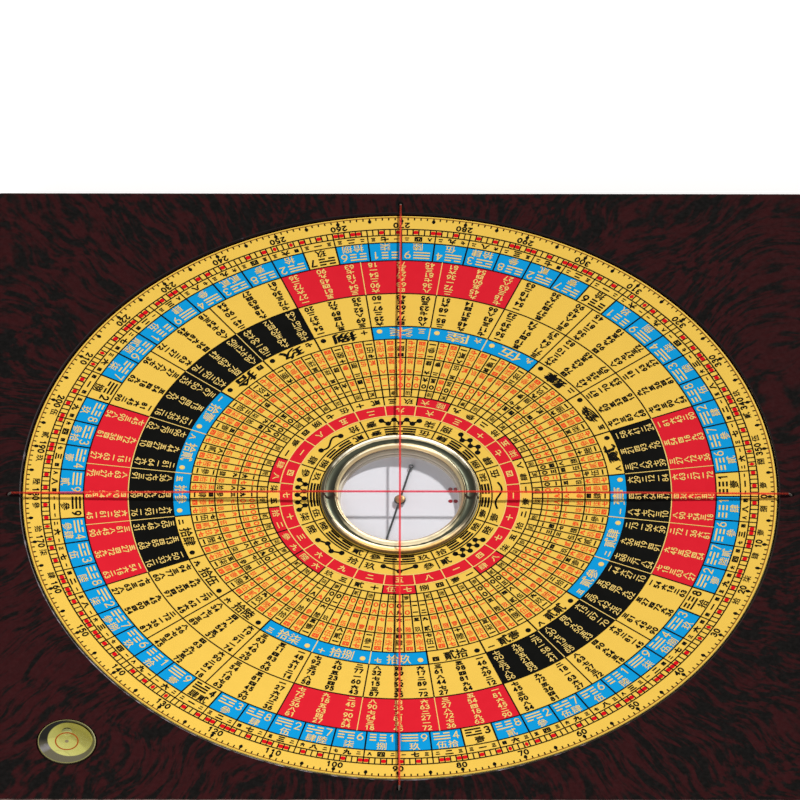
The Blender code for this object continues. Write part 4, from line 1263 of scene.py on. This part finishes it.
def make_level_window(liquid):
    """The cap, hollowed from below."""
    high, low, floor = top("level_cap"), under("level_cap"), top("level_floor") + 0.1
    cavity, edge, window, dome = LEVEL_R - 0.75, 0.32, 0.45, 0.15
    profile = [(0.0, high), (LEVEL_R - edge, high)]
    profile += arc((LEVEL_R - edge, high - edge), edge, 90, 0, 4)[1:]
    profile += stairs(LEVEL_R, low, cavity, floor)
    wall_edge = len(profile) - 1
    for step in range(7):
        across = 1.0 - step / 6.0
        profile.append((cavity * across, high - window + dome * (1.0 - across**2)))

    def slot_of(edge_index, step):
        if edge_index < 6:
            return (0, 1, 1, 4, 4, 4)[edge_index]
        return 3 if edge_index > wall_edge else 2 if edge_index >= wall_edge - 1 else 0

    rim = plain_material("pale_rim", colour_of(142, 138, 84), 0.42, specular=0.12, grain=0.5, variety=0.2)
    clear = clear_material("clear_acrylic", colour_of(252, 253, 248), 0.01)
    side = plain_material("level_side", colour_of(52, 42, 34), 0.4, specular=0.1)
    finishes = [level_wall_material(), rim, liquid, clear, side]
    add_turned("level_window", profile, LEVEL_STEPS, "base", "acrylic", finishes, ["level_cap"],
               centre=LEVEL_AT, slot_of=slot_of)


def make_level():
    liquid = liquid_material()
    make_level_window(liquid)
    low, high, out = under("level_floor"), top("level_floor"), LEVEL_R - 0.8
    tray = stairs(0.0, low, out, high)
    tray += [(out - 0.25, high - 0.04), (out * 0.6, high - 0.16), (0.0, high - 0.2)]
    add_turned("level_tray", tray, LEVEL_STEPS, "base", "level", [liquid], ["level_floor"], centre=LEVEL_AT)
    brown = print_material("level_circle", colour_of(158, 76, 24))
    cap_top = top("level_cap")
    circle = ring(2.56, 2.9, cap_top + 0.005, cap_top + 0.03)
    add_turned("level_circle", circle, LEVEL_STEPS, "base", "level", [brown], centre=LEVEL_AT)
    grey = plain_material("level_spot", colour_of(132, 118, 88), 0.4, specular=0.05, grain=2.0)
    spot = [(0.0, cap_top + 0.01), (0.48, cap_top + 0.01), (0.0, cap_top + 0.03)]
    add_turned("level_spot", spot, 24, "base", "level", [grey], centre=LEVEL_AT)


def make_bubble():
    low, high, centre = under("level_bubble"), top("level_bubble"), middle_of("level_bubble")
    half = reach("level_bubble") - centre[0]
    profile = list(bow(0.0, (low + high) / 2, half, (high - low) / 2, 90, -90, 16))
    profile[0], profile[-1] = (0.0, high), (0.0, low)
    air = bubble_material(centre, half)
    add_turned("bubble", profile, 48, "bubble", "bubble", [air], ["level_bubble"], centre=centre)


THREAD_R = 0.2
THREAD_PITCH = 1.4
THREAD_SIDES = 10
THREAD_STEP = 0.2

# Where the threads leave the dial, lose their painted glow and grow dimmer
DIMMING = (90.6, 92.8)


def thread_material():
    """Fine red line that lets through some of what is under it, but casts a whole shadow. Over the dial it
    has a painted glow. It is dimmer beside the dial, and pale with a painted glint where it goes down its
    holes."""
    made, tree, shader = new_material("red_thread")
    radius = place_about(tree)[2]
    # A painted glint where the thread goes down its hole
    painted_glint_end = radius.rise(THREAD_REACH - 0.9, THREAD_REACH - 0.6)
    tone = noise(tree, 2.5, 4.0).blend(colour_of(246, 82, 54), colour_of(252, 96, 68))
    tone = painted_glint_end.blend(tone, colour_of(120, 112, 104))
    set_shader(shader, tone, 0.5, 0.1)
    # A painted glow over the dial, which fades where the thread leaves it
    set_glow(shader, tone, radius.spread(0.27, 0.04, *DIMMING))
    add_bump(tree, shader, noise(tree, 5.0), 0.02)
    body = calc("MAXIMUM", radius.spread(0.34, 0.2, *DIMMING), painted_glint_end * 0.7)
    body = calc("MAXIMUM", light_path(tree, "Is Shadow Ray"), body)
    let_through(tree, shader, (1.0, 0.5, 0.66, 1.0), body)
    return made


def thread_route(node, sideways):
    """The CAD thread's line: up from its plug, round the hole's rim, over the lip and down again."""
    bend, edge_z = 1.0, BOARD_TOP + 0.2 + THREAD_R
    half = [(THREAD_REACH, under(node))]
    half += arc((THREAD_REACH - bend, edge_z - bend), bend, 0, 90, 12)
    half.append((BEZEL_R, top(node) - THREAD_R))
    route = half + [(-along, height) for along, height in reversed(half)]
    return [Vector((0.0, along, height) if sideways else (along, 0.0, height)) for along, height in route]


def make_thread(name, node, sideways, material):
    """Two strands twisted together, as a tube with a waisted section that turns along the route."""
    route, travelled, sections = thread_route(node, sideways), 0.0, []
    side = Vector((1.0, 0.0, 0.0)) if sideways else Vector((0.0, 1.0, 0.0))
    for start, end in zip(route, route[1:]):
        length, along = (end - start).length, (end - start).normalized()
        steps = max(1, round(length / THREAD_STEP))
        for share in (step / steps for step in range(steps)):
            sections.append((start.lerp(end, share), along, travelled + length * share))
        travelled += length
    sections.append((route[-1], along, travelled))
    rows = []
    for centre, along, way in sections:
        up = side.cross(along).normalized()
        turn = math.tau * way / THREAD_PITCH
        rows.append([])
        for angle in (math.tau * index / THREAD_SIDES for index in range(THREAD_SIDES)):
            radius = THREAD_R * (1.24 + 0.12 * abs(math.cos(angle)))
            place = centre + radius * (math.cos(angle + turn) * side + math.sin(angle + turn) * up)
            rows[-1].append(tuple(place))
    add_piece(name, loft(name, rows, 60.0), "base", [material], [node])


def dress_hidden(brass):
    dress("dial_core", plain_material("core_wood", colour_of(146, 112, 84), 0.6, grain=0.3, variety=0.15))
    dress("slip_ring", plain_material("nylon_slip", colour_of(228, 226, 218), 0.45))
    dress("hub_bush", plain_material("acetal_bush", colour_of(30, 30, 30), 0.4))
    for name in ("hub_washer", "hub_nut"):
        dress(name, brass)
    peg = plain_material("peg_wood", colour_of(160, 120, 84), 0.6, grain=0.6, variety=0.15)
    for name in ("right", "far", "left", "near"):
        dress("thread_plug_" + name, peg)


# Floor, light and camera

def make_floor():
    half = 6000.0
    corners = [(-half, -half, -0.01), (half, -half, -0.01), (half, half, -0.01), (-half, half, -0.01)]
    floor = place_object("floor", finish_mesh("floor", corners, [(0, 1, 2, 3)]))
    pale = plain_material("pale_floor", (0.94, 0.94, 0.94, 1.0), 0.8, specular=0.0, grain=0.02, variety=0.01)
    tree = pale.node_tree
    set_glow(tree.nodes["Principled BSDF"], WHITE, light_path(tree, *SEEING_RAYS) * 0.28)
    floor.data.materials.append(pale)


def make_world():
    world = bpy.data.worlds.new("studio")
    bpy.context.scene.world = world
    world.use_nodes = True
    tree = world.node_tree
    tree.nodes.clear()
    lights = []
    for colour, strength in (((0.97, 0.98, 1.0, 1.0), AMBIENT), (WHITE, 1.0)):
        lights.append(add_node(tree, "ShaderNodeBackground"))
        lights[-1].inputs["Color"].default_value = colour
        lights[-1].inputs["Strength"].default_value = strength
    mix_shaders(tree, light_path(tree, *SEEING_RAYS), *lights, add_node(tree, "ShaderNodeOutputWorld"))


def aim_lamp(lamp, travel):
    lamp.rotation_mode = "QUATERNION"
    lamp.rotation_quaternion = travel.to_track_quat("-Z", "Y")


def make_lamp():
    travel = Vector(LAMP_TRAVEL).normalized()
    data = bpy.data.lights.new("lamp", "SUN")
    data.energy = math.pi * DIRECT / -travel.z
    data.angle = math.radians(LAMP_SIZE)
    data.color = (1.0, 0.985, 0.96)
    aim_lamp(place_object("lamp", data), travel)


def make_fill():
    """A weak broad lamp at the near left, so that the light falls off a little towards the far right."""
    data = bpy.data.lights.new("fill", "AREA")
    data.energy = FILL_WATTS
    data.size = FILL_SIZE
    fill = place_object("fill", data)
    fill.location = FILL_AT
    aim_lamp(fill, -Vector(FILL_AT))


def make_camera():
    tilt, turn = math.radians(ELEVATION), math.radians(AZIMUTH)
    right = Vector((math.cos(turn), math.sin(turn), 0.0))
    back = Vector((math.sin(turn) * math.cos(tilt), -math.cos(turn) * math.cos(tilt), math.sin(tilt)))
    upwards = back.cross(right)
    px = MM / PX_PER_MM
    aim = Vector((0.0, 0.0, FACE * MM)) + right * (FRAME_PX / 2 - DIAL_CENTRE_PX[0]) * px
    aim += upwards * (DIAL_CENTRE_PX[1] - FRAME_PX / 2) * px
    data = bpy.data.cameras.new("camera")
    data.sensor_width = SENSOR
    data.lens = LENS
    distance = FRAME_PX * px * LENS / SENSOR
    data.clip_end = distance * 2
    camera = place_object("camera", data)
    camera.location = aim + back * distance
    camera.rotation_euler = (math.pi / 2 - tilt, 0.0, turn)
    bpy.context.scene.camera = camera
    bpy.context.scene.view_settings.view_transform = "Standard"


make_camera()
make_lamp()
make_fill()
make_world()
make_floor()
make_board()
make_dial_face()
print_dial()
brass = metal_material("turned_brass", colour_of(214, 186, 122), colour_of(186, 150, 90), 0.2)
make_bezel()
make_cup(brass)
make_crystal()
make_gasket()
make_card()
make_needle()
make_level()
make_bubble()
silk = thread_material()
make_thread("thread_x", "thread_across", False, silk)
make_thread("thread_y", "thread_along", True, silk)
dress_hidden(brass)
